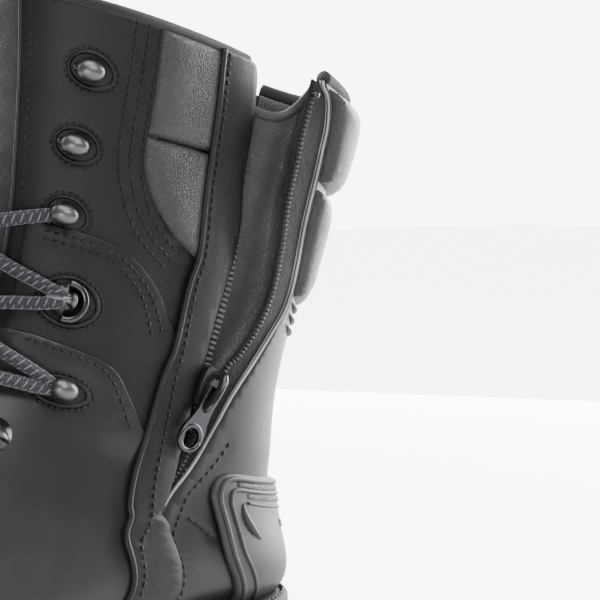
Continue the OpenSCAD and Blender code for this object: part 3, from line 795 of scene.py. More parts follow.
def quarter_side(tag, turned_over, node, overlay_node, pads_node):
    """The leather of one side; turned_over maps lines to that side."""
    def turned(lines):
        return [turned_over([tuple(p) for p in line]) for line in lines]

    hooks = [turned_over([h])[0] for h in HOOKS]
    dents = [(r, t, 5.2, 0.7) for r, t in hooks[:3]]
    top_front = [(0.06, 0.062), (2.5, 0.062), (5.0, 0.062)]
    front = [(5.0, 0.062), (6.2, 0.088), (7.45, 0.116)]
    low = [(7.45, 0.116), (7.48, 0.2), (7.48, 0.262)]
    rear = [(7.48, 0.262), (6.0, 0.262), (4.6, 0.266), (3.6, 0.272), (2.95, 0.278)]
    close = [(2.95, 0.278), (2.80, 0.264)]
    loop = outline(top_front, front, low, rear, close, CUT_EDGE[::-1],
                   [CUT_EDGE[0], (0.06, 0.062)])
    seams = [shifted(CUT_EDGE, -d) for d in (3.5, 6.7, 10.0)]
    piece = leather("quarter_" + tag, np.array(turned_over(loop.tolist())), LEATHER,
                    -1.8, 0.0, step=2.2, edge=0.45, edge_mat=EDGE_HIGHLIGHT,
                    seams=turned(seams), dents=dents)
    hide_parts(node)
    finish(piece, "boot")
    rows = stitches("quarter_stitching_" + tag,
                    turned(seams), "boot", -0.15)
    # the edge of the throat carries a bound edge and a stitch row
    lip = turned_over(top_front + front[1:])
    bead = sweep("throat_bead_" + tag, along_line(lip, -0.9, fixed), 1.1, BINDING, sides=10)
    finish(bead, "boot")
    second = stitches("throat_stitching_" + tag,
                      [turned_over([(r, t + 0.014) for r, t in top_front + front[1:]])],
                      "boot", -0.1)
    # ankle overlay, with its edge and two rows of stitches
    a_low = [(4.04, 0.258), (5.4, 0.262), (5.9, 0.258)]
    a_back = [(5.9, 0.258), (5.35, 0.222), (4.95, 0.195), (4.85, 0.139), (4.85, 0.090)]
    a_front = [(4.85, 0.090), (4.0, 0.084), (3.0, 0.084), (2.97, 0.109)]
    loop = outline(OVER_A, a_low, a_back, a_front)
    seams = [shifted(OVER_A, d) for d in (-2.6, -5.2)]
    piece = leather("ankle_overlay_" + tag, np.array(turned_over(loop.tolist())), LEATHER,
                    -0.1, 1.3, step=2.4, edge=0.45, edge_mat=EDGE_HIGHLIGHT,
                    seams=turned(seams),
                    dents=[(*turned_over([LOCK_HOOK])[0], 6.5, 0.6)])
    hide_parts(overlay_node)
    finish(piece, "boot")
    rows = stitches("overlay_stitching_" + tag,
                    turned(seams), "boot", 1.15)
    # the smooth lower quarter laps over the ankle overlay
    b_back = [(5.50, 0.250), (6.5, 0.258), (7.36, 0.268), (7.9, 0.302), (8.5, 0.345),
              (8.95, 0.385)]
    b_low = [(8.95, 0.385), (10.2, 0.385)]
    b_toe = [(10.2, 0.385), (9.95, 0.32), (9.55, 0.26), (9.0, 0.205), (8.3, 0.155),
             (7.62, 0.114)]
    b_front = [(7.62, 0.114), (6.2, 0.092), (5.0, 0.074), (4.50, 0.085)]
    loop = outline([(4.50, 0.085), (4.50, 0.118)], OVER_B, b_back, b_low, b_toe, b_front)
    seam = shifted(OVER_B, -2.4)
    toe_seams = [shifted(b_toe, d) for d in (-2.4, -4.9)]
    lifted = raised(fixed, overlay_b_lift)
    piece = leather("lower_quarter_" + tag, np.array(turned_over(loop.tolist())), SMOOTH,
                    -0.1, 1.3, step=2.4, edge=0.5, place=lifted,
                    seams=turned([seam] + toe_seams),
                    dents=[(*hooks[3], 5.5, 0.6)])
    finish(piece, "boot")
    rows = stitches("lower_quarter_stitching_" + tag,
                    turned([seam] + toe_seams), "boot", 1.15, place=lifted)


def along_line(line, lift, place, pitch=1.5):
    """Points at height lift along a line of (row, turn)."""
    rt = dense(line, 1.5)
    return resample(place(rt[:, 0], rt[:, 1], np.full(len(rt), lift)), pitch)


quarter_side("medial", same, "medial_quarter", "ankle_overlay_medial", "front_collar_pads")
quarter_side("lateral", flip, "lateral_quarter", "ankle_overlay_lateral",
             "lateral_collar_pads")


def pad(name, loop, place, body, swell, reach=7.0, node=None, low=-1.4, high=0.6):
    """A stuffed soft-leather pad, crowned by swell."""
    piece = leather(name, loop, NAPPA, low, high, place=place, step=1.9, edge=2.4,
                    crown=swell, crown_reach=reach, wrinkle=0.10)
    if node:
        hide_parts(node)
    finish(piece, body)
    return piece


top_pad = outline([(0.10, 0.216), (1.53, 0.208)], [(1.53, 0.208), (1.475, 0.272)],
                  [(1.475, 0.272), (0.10, 0.277)], [(0.10, 0.277), (0.10, 0.216)])
low_pad = outline([(1.56, 0.207), (1.9, 0.207), (2.3, 0.219), (2.7, 0.245), (2.92, 0.272)],
                  [(2.92, 0.272), (2.2, 0.273), (1.505, 0.272)],
                  [(1.505, 0.272), (1.56, 0.207)])
pad("collar_pad_top", top_pad, fixed, "boot", 1.5, node="front_collar_pads")
pad("collar_pad_low", low_pad, fixed, "boot", 1.5)

outer_top = outline([(0.10, 0.784), (1.50, 0.792)], [(1.50, 0.792), (1.48, 0.70), (1.46, 0.622)],
                    [(1.46, 0.622), (0.10, 0.622)], [(0.10, 0.622), (0.10, 0.784)])
outer_low = outline([(1.58, 0.793), (1.9, 0.793), (2.3, 0.781), (2.7, 0.755), (2.92, 0.728),
                     (2.94, 0.66), (2.90, 0.622)], [(2.90, 0.622), (1.54, 0.622)],
                    [(1.54, 0.622), (1.56, 0.70), (1.58, 0.793)])
pad("outer_pad_top", outer_top, fixed, "boot", 3.4, 9.0, node="lateral_collar_pads")
pad("outer_pad_low", outer_low, fixed, "boot", 3.4, 9.0)

# the inner side's base behind the pads keeps the gap between leathers shut
backing = leather("collar_backing_medial", outline(
    [(0.06, 0.205), (3.0, 0.205)], [(3.0, 0.205), (3.0, 0.30)],
    [(3.0, 0.30), (1.5, 0.31), (0.06, 0.31)], [(0.06, 0.31), (0.06, 0.205)]), LEATHER,
    -2.7, -1.7, step=4.0, edge=0.2)
finish(backing, "boot")
backing = leather("ankle_backing_lateral", outline(
    [(0.06, 0.80), (3.2, 0.80), (4.6, 0.76), (7.3, 0.75)], [(7.3, 0.75), (7.3, 0.70)],
    [(7.3, 0.70), (4.9, 0.62)], [(4.9, 0.62), (0.06, 0.618)],
    [(0.06, 0.618), (0.06, 0.80)]), LEATHER, -2.2, -0.5, step=3.0, edge=0.5)
finish(backing, "boot")


# ---------------------------------------------------------------- zip, front
def facing_lift(row, turn):
    """The facing climbs over the leathers in front of it."""
    return 1.1 * smooth((row - 3.4) / 1.2) * (1 - 0.7 * smooth((turn - 0.262) / 0.02))


loop = outline(FACING_LEFT, [(8.95, 0.375), (8.5, 0.40)],
               [(8.5, 0.40), (7.95, 0.345), (7.45, 0.302), (7.0, 0.2735), (6.8, 0.2675),
                (6.65, 0.261)], FACING_RIGHT[::-1],
               [(0.04, 0.316), (0.04, 0.274)])
facing_seam = shifted(FACING_LEFT, 2.0)
facing_place = raised(fixed, facing_lift)
facing = leather("front_facing", loop, LEATHER, 0.3, 1.8, place=facing_place, step=2.0,
                 edge=0.4, edge_mat=EDGE_HIGHLIGHT, seams=[facing_seam])
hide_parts("front_zip_facing")
finish(facing, "boot")
stitches("front_facing_stitching", [facing_seam], "boot", 1.65, facing_place)
rolled = sweep("front_facing_roll", along_line(FACING_LEFT, 1.5, facing_place), 1.15, LEATHER,
               sides=12)
finish(rolled, "boot")


def front_path(row, across, lift):
    """A line beside the front edge of the opening."""
    turn = look(FRONT_EDGE, row) + across
    return fixed(row, turn, lift)


COIL_PITCH = 1.93


def teeth(name, line, outward_line, body, blend_it, pitch=COIL_PITCH, width=3.4):
    """A row of coil loops: each is a bent bar across the tape's edge."""
    s = arc_lengths(line)
    verts, faces = [], []
    sides = 8
    for c in np.arange(0.5, s[-1], pitch):
        o = np.array([np.interp(c, s, line[:, k]) for k in range(3)])
        n = np.array([np.interp(c, s, outward_line[:, k]) for k in range(3)]) - o
        n /= np.linalg.norm(n)
        d = np.array([np.interp(c + 0.2, s, line[:, k]) - np.interp(c - 0.2, s, line[:, k])
                      for k in range(3)])
        d /= np.linalg.norm(d)
        side = np.cross(n, d)
        base = len(verts)
        for q in range(7):
            f = q / 6
            p = o + side * width * (f - 0.5) + n * (0.75 * math.sin(math.pi * f) ** 0.5 - 0.4)
            r = 0.56 if 0 < q < 6 else 0.35
            for k in range(sides):
                a = 2 * math.pi * k / sides
                verts.append(p + n * r * math.sin(a) + d * r * math.cos(a))
        faces += bar_faces(base, 7, sides)
    obj = facing_out(build(name, verts, faces, LIT_COIL))
    if blend_it:
        bend(obj)
    else:
        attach(obj, body)
    return obj


rows = np.linspace(0.30, 6.2, 90)
# the coil peeps out from under the facing below the second row
peep = 0.0095 * smooth((rows - 1.8) / 0.7)
coil_front = teeth("front_coil", front_path(rows, peep, -0.3), front_path(rows, peep, 1.2),
                   "boot", False)
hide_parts("zip_coil_front")
TAPE_IN, TAPE_OUT = -0.022, 0.003     # the tape's edges, from the opening's edge
tape_rows = (0.1, 1, 2, 3, 4, 5, 6.4)
hidden = [(r, look(FRONT_EDGE, r) + TAPE_IN) for r in tape_rows]
shown = [(r, look(FRONT_EDGE, r) + TAPE_OUT) for r in tape_rows[::-1]]
tape = leather("front_tape", outline(hidden, [hidden[-1], shown[0]], shown,
                                     [shown[-1], hidden[0]]), TAPE, -2.6, -1.7, step=2.6,
               edge=0.2)
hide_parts("zip_tape_front")
finish(tape, "boot")


# ---------------------------------------------------------------- rear quarter
REAR_CUT = [(0.04, 0.308), (0.13, 0.310), (0.27, 0.325), (0.61, 0.338), (0.92, 0.341),
            (1.88, 0.353), (2.47, 0.367), (2.90, 0.366), (3.51, 0.335), (4.32, 0.301),
            (4.91, 0.286), (5.35, 0.278), (5.82, 0.271), (6.25, 0.265), (6.65, 0.261)]
REAR_COIL = [(0.30, 0.303), (0.88, 0.302), (1.28, 0.306), (1.77, 0.311), (2.37, 0.323),
             (2.92, 0.327), (3.43, 0.316), (3.90, 0.297), (4.14, 0.285), (4.8, 0.276),
             (5.6, 0.268), (6.3, 0.262)]


loop = outline(REAR_CUT, [(6.65, 0.261), (6.95, 0.2665), (7.42, 0.298), (7.9, 0.338),
                          (8.6, 0.405)],
               [(8.6, 0.405), (7.7, 0.45), (7.35, 0.50), (7.35, 0.58)],
               [(7.35, 0.58), (5.0, 0.582), (0.06, 0.582)],
               [(0.06, 0.582), (0.04, 0.44), (0.04, 0.308)])
rear_seam = [(5.06, 0.305), (5.53, 0.291), (5.93, 0.281), (6.22, 0.276), (6.62, 0.273),
             (6.99, 0.2765), (7.42, 0.304), (7.9, 0.346), (8.3, 0.382)]
cross_seam = [(6.50, 0.279), (6.58, 0.289), (6.72, 0.303)]
rear_skin = leather("rear_skin", loop, SMOOTH, -1.6, 0.6, place=bending, step=1.9,
                    edge=0.35, edge_mat=EDGE_HIGHLIGHT, seams=[rear_seam, cross_seam])
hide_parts("rear_quarter", "rear_zip_facing", "heel_leather")
bend(rear_skin)
thread = stitches("rear_stitching", [[q for q in rear_seam if q[0] < 6.7]], None, 0.45,
                  bending)
bend(thread)
stitches("rear_foot_stitching", [[q for q in rear_seam if q[0] > 6.6], cross_seam],
                 "boot", 0.45, bending)
# A thin grey tube along the rear cut edge: partly the raw edge, partly a painted highlight for the
# lit line on it.
rt = dense(REAR_CUT, 1.2)
edge_highlight_tube = sweep("rear_raw_edge_painted_highlight", resample(bending(rt[:, 0], rt[:, 1], np.full(len(rt), 0.05)), 1.5),
               0.42, EDGE_HIGHLIGHT, sides=8)
bend(edge_highlight_tube)
# three folds where the ankle flexes
for k in range(3):
    f = np.linspace(0, 1, 24)
    line = bending(2.86 + 0.15 * k + 0.10 * f, 0.372 + 0.052 * f,
                   0.35 + 0.25 * np.sin(np.pi * f))
    fold = sweep("flex_fold_%d" % k, line, 0.15 + 0.85 * np.sin(np.pi * f), SMOOTH, sides=12,
                 flat=1.5)
    bend(fold)

# The outer half of the heel and the seam up the outer ankle
loop = outline([(4.75, 0.56), (4.7, 0.62), (4.85, 0.70), (5.4, 0.738)],
               [(5.4, 0.738), (7.1, 0.738), (7.5, 0.722), (8.0, 0.690), (8.95, 0.615)],
               [(8.95, 0.615), (7.9, 0.555), (7.4, 0.54)],
               [(7.4, 0.54), (5.5, 0.55), (4.75, 0.56)])
heel_out = leather("heel_skin_lateral", loop, SMOOTH, 0.4, 1.8, step=2.4, edge=0.5,
                   seams=[[(4.88, 0.60), (4.88, 0.64), (5.05, 0.70), (5.5, 0.728)]])
finish(heel_out, "boot")
stitches("heel_stitching_lateral",
                 [[(4.88, 0.60), (4.88, 0.64), (5.05, 0.70), (5.5, 0.728), (7.1, 0.728),
                   (7.45, 0.714), (7.95, 0.682), (8.5, 0.64)]], "boot", 1.65)


def flex(row, turn, lift=0.0):
    """The outer ankle: swung behind, fixed in front."""
    row, turn = np.broadcast_arrays(np.asarray(row, float), np.asarray(turn, float))
    p = at(row, turn, lift)
    w = np.zeros(p.shape[:-1])
    start, way = FLEX_FROM, FLEX_TO - FLEX_FROM
    for _ in range(30):
        q = spin(p, -OPEN_ANGLE * w)
        w = 0.5 * w + 0.5 * smooth(((q - start) @ way) / (way @ way))
    return spin(p, -OPEN_ANGLE * w)


FLEX_FROM = at(2.5, 0.672) * [1, 1, 0]
FLEX_TO = at(2.5, 0.575) * [1, 1, 0]
loop = outline([(0.06, 0.700), (4.95, 0.700)], [(4.95, 0.700), (5.0, 0.60), (5.05, 0.535)],
               [(5.05, 0.535), (0.06, 0.535)], [(0.06, 0.535), (0.06, 0.700)])
flex_skin = leather("ankle_flex", loop, NAPPA, -1.9, -0.75, place=flex, step=2.2, edge=0.4,
                    wrinkle=0.25)
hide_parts("flex_panel")
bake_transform(flex_skin)

# collar rolls of the rear quarter
roll_top = outline([(0.10, 0.320), (0.45, 0.339), (0.9, 0.348), (1.30, 0.352)],
                   [(1.30, 0.352), (1.32, 0.46), (1.30, 0.584)],
                   [(1.30, 0.584), (0.10, 0.584)], [(0.10, 0.584), (0.06, 0.45), (0.10, 0.320)])
roll_low = outline([(1.40, 0.354), (1.9, 0.360), (2.4, 0.372), (2.78, 0.376)],
                   [(2.78, 0.376), (2.84, 0.46), (2.78, 0.584)],
                   [(2.78, 0.584), (1.40, 0.584)], [(1.40, 0.584), (1.38, 0.46), (1.40, 0.354)])
pad("rear_roll_top", roll_top, swung, "rear_flap", 5.0, 11.0, node="rear_collar_pads",
    low=0.3, high=1.6)
pad("rear_roll_low", roll_low, swung, "rear_flap", 4.2, 12.0, low=0.3, high=1.6)

# rear zip tape with its coil and the napped back of the leather showing
tape_out = [(r, np.interp(r, [q[0] for q in REAR_CUT], [q[1] for q in REAR_CUT]) + 0.01)
            for r in (0.1, 0.6, 1.2, 1.9, 2.5, 3.0, 3.6, 4.3, 5.2, 6.3)]
tape_in = [(r, np.interp(r, [q[0] for q in REAR_COIL], [q[1] for q in REAR_COIL]) - 0.004)
           for r in (0.1, 0.6, 1.2, 1.9, 2.5, 3.0, 3.6, 4.3, 5.2, 6.3)]
loop = outline(tape_out, [tape_out[-1], tape_in[-1]], tape_in[::-1], [tape_in[0], tape_out[0]])
tape = leather("rear_tape", loop, SUEDE, -2.8, -1.3, place=bending, step=1.8, edge=0.5,
               wrinkle=0.12)
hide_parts("zip_tape_rear")
bend(tape)
rt = dense(REAR_COIL, 1.2)
coil_rear = teeth("rear_coil", bending(rt[:, 0], rt[:, 1], np.full(len(rt), -1.2)),
                  bending(rt[:, 0], rt[:, 1], np.full(len(rt), 0.3)), "rear_flap", True,
                  pitch=1.6, width=1.7)
# The rear coil takes the darker copy of the coil colour: painted shade.
coil_rear.data.materials[0] = SHADED_COIL
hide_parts("zip_coil_rear")
stop = sweep("rear_top_stop", bending(np.array([0.30, 0.38]), np.interp(
    [0.30, 0.38], [q[0] for q in REAR_COIL], [q[1] for q in REAR_COIL]),
    np.array([-0.2, -0.2])), 1.5, BLACK_METAL, sides=14)
bend(stop)
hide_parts("zip_top_stop_rear")


# ---------------------------------------------------------------- gusset
def gusset_at(f, g, lift):
    """f runs down from the hem, g from the facing to the rear coil."""
    row = 0.74 + 5.48 * f
    a = fixed(row, front_edge(row) - 0.022, lift)
    row_b = 0.12 + 6.1 * f
    b = bending(row_b, np.interp(row_b, [q[0] for q in REAR_COIL],
                                 [q[1] for q in REAR_COIL]) + 0.012, lift)
    deep = (6.5 * np.sin(np.pi * g) + 1.6 * np.sin(3 * np.pi * g + 1.2 * f)) * (1 - 0.9 * f)
    inward = np.array([0.48, 0.85, 0.0])
    p = a + (b - a) * g[..., None] + inward * deep[..., None]
    p[..., 2] -= 8.5 * np.sin(np.pi * g ** 1.5) * (1 - smooth(f / 0.4))
    return p


gusset = grid_sheet("gusset", lambda f, g: gusset_at(f, g, -3.6),
                    lambda f, g: gusset_at(f, g, -4.9), 90, 46, NAPPA)
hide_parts("gusset")
ga, gb = gusset_at(np.array([0.1]), np.array([0.0]), -4)[0], gusset_at(
    np.array([0.1]), np.array([1.0]), -4)[0]
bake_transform(gusset)
g = np.linspace(0, 1, 40)
hem = sweep("gusset_hem", resample(gusset_at(np.zeros(40), g, -4.0), 1.2), 1.7, NAPPA, sides=14)
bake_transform(hem)


# ---------------------------------------------------------------- vamp, toe
def vamp_at(f, g, lift):
    """f runs from the throat to the toe, g from side to side."""
    turn = -0.41 + 0.82 * g
    near = np.abs(turn)
    first = np.interp(near, [0.0, 0.11, 0.155, 0.205, 0.26, 0.32, 0.42],
                      [7.42, 7.45, 7.95, 8.6, 9.15, 9.55, 9.8])
    return at(first + (14.96 - first) * f, turn, lift)


vamp = grid_sheet("vamp_skin", lambda f, g: vamp_at(f, g, 0.0),
                  lambda f, g: vamp_at(f, g, -1.8), 96, 110, LEATHER)
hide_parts("vamp")
finish(vamp, "boot")


# ---------------------------------------------------------------- sole unit
def sole_outline(inset, count=150):
    """Points round the sole, inner side first, inset mm inside its edge."""
    x = np.array([p[0] for p in SOLE], float)
    y = np.array([p[1] for p in SOLE], float)
    w = np.array([p[2] for p in SOLE], float)
    inner = np.stack([x, y - w], 1)
    outer = np.stack([x, y + w], 1)[::-1]
    loop = np.concatenate([inner, outer])
    n = len(loop)
    pts = []
    for i in range(n):
        a, b, c, d = loop[i - 1], loop[i], loop[(i + 1) % n], loop[(i + 2) % n]
        for f in np.linspace(0, 1, 8, endpoint=False):
            pts.append(cubic(a, b, c, d, f))
    pts = np.array(pts)
    s = np.concatenate([[0], np.cumsum(np.linalg.norm(
        np.diff(np.concatenate([pts, pts[:1]]), axis=0), axis=1))])
    u = np.linspace(0, s[-1], count, endpoint=False)
    closed = np.concatenate([pts, pts[:1]])
    p = np.stack([np.interp(u, s, closed[:, k]) for k in range(2)], 1)
    tan = np.roll(p, -1, 0) - np.roll(p, 1, 0)
    tan /= np.linalg.norm(tan, axis=1, keepdims=True)
    nrm = np.stack([tan[:, 1], -tan[:, 0]], 1)
    mid = p.mean(0)
    if np.sum((p - mid) * nrm) < 0:
        nrm = -nrm
    return p - nrm * inset, nrm


def rim_top(x):
    """Height of the sole rim's upper edge."""
    return bed(x) - 4.1 + 8 + 5 * np.clip((-30 - x) / 40, 0, 1)


def ground(x):
    """Height of the tread's underside, rising at the toe."""
    return np.where(x < -150, 11 * ((-150 - x) / 113) ** 2, 0.0)


def ring_piece(name, profile, mat, count=220):
    """profile(x) gives a list of (inset, z) that runs once round a closed section."""
    base, nrm = sole_outline(0.0, count)
    section = profile(base[:, 0])
    verts = []
    for inset, z in section:
        q = base - nrm * inset
        verts.append(np.column_stack([q, np.broadcast_to(z, (count,))]))
    m = len(section)
    verts = np.concatenate(verts)
    faces = [(k * count + i, k * count + (i + 1) % count,
              ((k + 1) % m) * count + (i + 1) % count, ((k + 1) % m) * count + i)
             for k in range(m) for i in range(count)]
    return facing_out(build(name, verts, faces, mat))


def wall_profile(x):
    """Section of the sole's wall, with three grooves."""
    low = ground(x) + 14.0
    high = rim_top(x)
    span = high - low
    rows_ = [(6.0, low), (0.7, low), (0.0, low + 0.8)]
    for k in range(3):
        z = low + span * (0.25 + 0.17 * k)
        rows_ += [(0.0, z - 0.9), (0.6, z - 0.5), (0.6, z + 0.5), (0.0, z + 0.9)]
    rows_ += [(0.1, high - 1.2), (0.7, high - 0.3), (1.7, high), (2.9, high - 0.5),
              (4.2, high - 2.5), (6.0, high - 6.0)]
    return rows_


rim = ring_piece("sole_rim", wall_profile, TREAD)
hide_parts("midsole")
finish(rim, "boot")
# the rand: from the top of the rim in to the upper, all the way round
rr, tt = np.meshgrid(np.linspace(5.5, 14.9, 420), np.linspace(0, 1, 500, endpoint=False),
                     indexing="ij")
hull = skin(rr.ravel(), tt.ravel())
level = hull[:, 2] - rim_top(hull[:, 0]) - 0.8
band = hull[np.abs(level) < 0.5]
count = 300
base, nrm = sole_outline(2.0, count)
near = np.zeros((count, 2))
for i in range(count):
    d = np.linalg.norm(band[:, :2] - base[i], axis=1)
    k = np.argsort(d)[:6]
    near[i] = band[k, :2].mean(0)
for _ in range(6):
    near = (np.roll(near, 1, 0) + near + np.roll(near, -1, 0)) / 3
inner_ = near - nrm * 1.6
z0 = rim_top(base[:, 0])
rings = [(base, z0 - 2.0), (base, z0 - 0.3), (base * 0.55 + near * 0.45, z0 - 0.6),
         (near + nrm * 0.9, z0 + 0.1), (near + nrm * 0.1, z0 + 1.5), (inner_, z0 + 1.5),
         (inner_, z0 - 2.5)]
verts = np.concatenate([np.column_stack([q, z]) for q, z in rings])
m = len(rings)
faces = [(k * count + i, k * count + (i + 1) % count, ((k + 1) % m) * count + (i + 1) % count,
          ((k + 1) % m) * count + i) for k in range(m) for i in range(count)]
rand_ = facing_out(build("rand", verts, faces, TREAD))
finish(rand_, "boot")

WELT_STITCHES = 260
base, nrm = sole_outline(1.9, WELT_STITCHES)
top = rim_top(base[:, 0]) + 0.1
verts, faces = [], []
for i in range(WELT_STITCHES):
    p = np.array([base[i, 0], base[i, 1], top[i]])
    j = (i + 1) % WELT_STITCHES
    q = np.array([base[j, 0], base[j, 1], top[j]])
    d = (q - p) / np.linalg.norm(q - p)
    n = np.array([nrm[i, 0] * 0.3, nrm[i, 1] * 0.3, 0.95])
    side = np.cross(n, d)
    c = (p + q) / 2
    start = len(verts)
    for off, lift, r in ((-1.15, -0.3, 0.3), (-0.6, 0.1, 0.5), (0.6, 0.1, 0.5), (1.15, -0.3, 0.3)):
        for k in range(6):
            a = math.pi * k / 3
            verts.append(c + d * off + n * (lift + r * math.sin(a)) + side * r * math.cos(a))
    faces += bar_faces(start, 4, 6)
welt = facing_out(build("welt_stitching", verts, faces, THREAD))
finish(welt, "boot")

# side lugs of the tread stand proud of the sole's edge
SIDE_LUGS = 64
ARCH_BACK, ARCH_FRONT = -28, -78      # no lugs under the arch
verts, faces = [], []
base, nrm = sole_outline(0.0, SIDE_LUGS)
for i in range(SIDE_LUGS):
    x, y = base[i]
    if ARCH_FRONT < x < ARCH_BACK:
        continue
    n = np.array([*nrm[i], 0.0])
    t = np.array([-nrm[i][1], nrm[i][0], 0.0])
    g0 = float(ground(np.array(x)))
    start = len(verts)
    for z, half, out_ in ((g0 + 0.4, 3.0, 0.0), (g0 + 2.0, 3.3, 0.9), (g0 + 9.5, 2.7, 0.9),
                          (g0 + 12.5, 1.6, 0.0)):
        for sgn, depth in ((-1, -3.0), (1, -3.0), (1, out_), (-1, out_)):
            verts.append(np.array([x, y, z]) + t * sgn * half + n * depth)
    faces += bar_faces(start, 4, 4)
lugs = facing_out(build("side_lugs", verts, faces, TREAD, shade=False))
finish(lugs, "boot")


def bumper_at(f, g, lift):
    """f runs from the guard's edge to the toe."""
    first = 13.4 - 2.6 * np.abs(2 * g - 1) ** 2
    return at(first + (14.96 - first) * f, -0.34 + 0.68 * g, lift)


def bumper_height(f, g):
    """Thickness of the guard, with one groove."""
    edge = np.clip(f / 0.10, 0, 1)
    groove = np.where((f > 0.22) & (f < 0.30), -0.6, 0.0)
    return 0.5 + 2.0 * np.sqrt(1 - (1 - edge) ** 2) + groove


bumper = grid_sheet("toe_guard", lambda f, g: bumper_at(f, g, bumper_height(f, g)),
                    lambda f, g: bumper_at(f, g, 0.1 + 0 * f), 40, 120, KNURL)
bumper.data.materials[0] = TREAD
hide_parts("toe_bumper")
finish(bumper, "boot")


# ---------------------------------------------------------------- heel counter
COUNTER_TOP = [(5.93, 0.2975), (5.80, 0.3000), (5.70, 0.3050), (5.63, 0.3130), (5.585, 0.324),
               (5.55, 0.343),
               (5.47, 0.39), (5.42, 0.44), (5.405, 0.50)]
COUNTER_SIDE = [(7.6, 0.395), (7.25, 0.345), (7.0, 0.320), (6.77, 0.309), (6.51, 0.303),
                (6.25, 0.299), (6.08, 0.2968), (5.93, 0.2975)]
HEEL_METRIC = np.array([19.0, 262.0])
counter_loop = outline(COUNTER_SIDE, COUNTER_TOP, flip(COUNTER_TOP)[::-1],
                       flip(COUNTER_SIDE)[::-1],
                       [(7.6, 0.605), (7.32, 0.56), (7.22, 0.5), (7.32, 0.44), (7.6, 0.395)])


def counter_shape(row, turn):
    """A slight barrel down the counter's rows."""
    return 0.8 * np.sin(np.clip((row - 5.4) / 1.7, 0, 1) * np.pi) ** 0.7


counter_place = raised(fixed, counter_shape)
counter = leather("heel_counter_moulding", counter_loop, RUBBER, 0.7, 3.1,
                  place=counter_place, step=2.0, edge=1.3)
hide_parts("heel_counter", "counter_band")
finish(counter, "boot")


def inset_counter(distance):
    """The upper outline of the counter, moved inwards by distance mm."""
    half = np.concatenate([dense(COUNTER_SIDE, 1.0)[:-1], dense(COUNTER_TOP, 1.0)])
    p = np.concatenate([half, np.array(flip(half.tolist()))[::-1][1:]]) * HEEL_METRIC
    tan = np.gradient(p, axis=0)
    for _ in range(4):
        tan = (np.roll(tan, 1, 0) + tan + np.roll(tan, -1, 0)) / 3
    tan[0], tan[-1] = tan[1], tan[-2]
    tan /= np.linalg.norm(tan, axis=1, keepdims=True)
    q = p + np.stack([-tan[:, 1], tan[:, 0]], 1) * distance * INSET_SIGN
    return (q / HEEL_METRIC)[2:-2:2]


INSET_SIGN = -1
bead_lines = []
for d, radius in ((1.5, 1.0), (4.6, 0.75)):
    path = along_line(inset_counter(d), 3.15, counter_place, pitch=1.4)
    bead_lines.append(finish(sweep("counter_bead_%d" % len(bead_lines), path, radius, RUBBER,
                                   sides=12), "boot"))


def band_row(turn, offset):
    """The row offset below the counter's top."""
    turn = np.asarray(turn, float)
    near = np.minimum(turn, 1 - turn)
    return np.interp(near, [p[1] for p in COUNTER_TOP], [p[0] for p in COUNTER_TOP]) + offset


for k, (a, b, r0, r1) in enumerate(((0.322, 0.678, 0.125, 0.20), (0.335, 0.665, 0.285, 0.36),
                                    (0.405, 0.432, 0.62, 0.74), (0.568, 0.595, 0.62, 0.74))):
    n = int((b - a) * 400)
    strip = leather("counter_knurl_%d" % k, np.array(
        [(float(band_row(t, r0)), t) for t in np.linspace(a, b, n)]
        + [(float(band_row(t, r1)), t) for t in np.linspace(b, a, n)]), KNURL, 3.0, 3.6,
        place=counter_place, step=1.2, edge=0.3)
    finish(strip, "boot")
bead_low = [(float(band_row(t, 0.43)), t) for t in np.linspace(0.335, 0.665, 40)]
finish(sweep("counter_bead_low", along_line(bead_low, 3.15, counter_place, 1.4), 0.55, RUBBER,
             sides=10), "boot")
crescent = [(6.02, 0.329), (6.16, 0.3295), (6.30, 0.3335), (6.42, 0.341), (6.51, 0.350)]
for mirror in (same, flip):
    path = along_line(mirror(crescent), 3.2, counter_place, 0.8)
    f = np.linspace(0, 1, len(path))
    finish(sweep("counter_crescent", path, 0.15 + 1.25 * np.sin(np.pi * f) ** 0.8, RUBBER,
                 sides=12), "boot")
nub = flowing([at(np.array(6.66), np.array(0.485), np.array(h)) for h in (2.5, 3.6, 4.9)], 0.4)
fat = 2.3 * np.sqrt(np.clip(1 - (np.linspace(0, 1, len(nub)) - 0.1) ** 2 / 0.85, 0.02, 1))
finish(sweep("counter_nub", nub, fat, RUBBER, sides=16), "boot")


# ---------------------------------------------------------------- hardware
def local(points, matrix):
    """Points given in a seat's own frame, in mm."""
    m = np.array(matrix)
    p = np.asarray(points, float) * MM
    return (p @ m[:3, :3].T + m[:3, 3]) / MM


def oval_ring(name, row, turn, lift, a, b, radius, mat, body, place=fixed, seg=48):
    ang = np.linspace(0, 2 * np.pi, seg, endpoint=False)
    rows_ = row - b * np.sin(ang) / METRIC[0]
    turns_ = turn + a * np.cos(ang) / METRIC[1]
    pts = place(rows_, turns_, np.full(seg, lift))
    out = place(rows_, turns_, np.full(seg, lift + 1.0)) - pts
    nxt = np.roll(pts, -1, 0) - np.roll(pts, 1, 0)
    nxt /= np.linalg.norm(nxt, axis=1, keepdims=True)
    side = np.cross(out, nxt)
    verts, faces, sides = [], [], 10
    for i in range(seg):
        for k in range(sides):
            q = 2 * math.pi * k / sides
            verts.append(pts[i] + out[i] * radius * math.sin(q) + side[i] * radius * math.cos(q))
    for i in range(seg):
        for k in range(sides):
            j, l = (i + 1) % seg, (k + 1) % sides
            faces.append((i * sides + k, i * sides + l, j * sides + l, j * sides + k))
    return finish(facing_out(build(name, verts, faces, mat)), body)


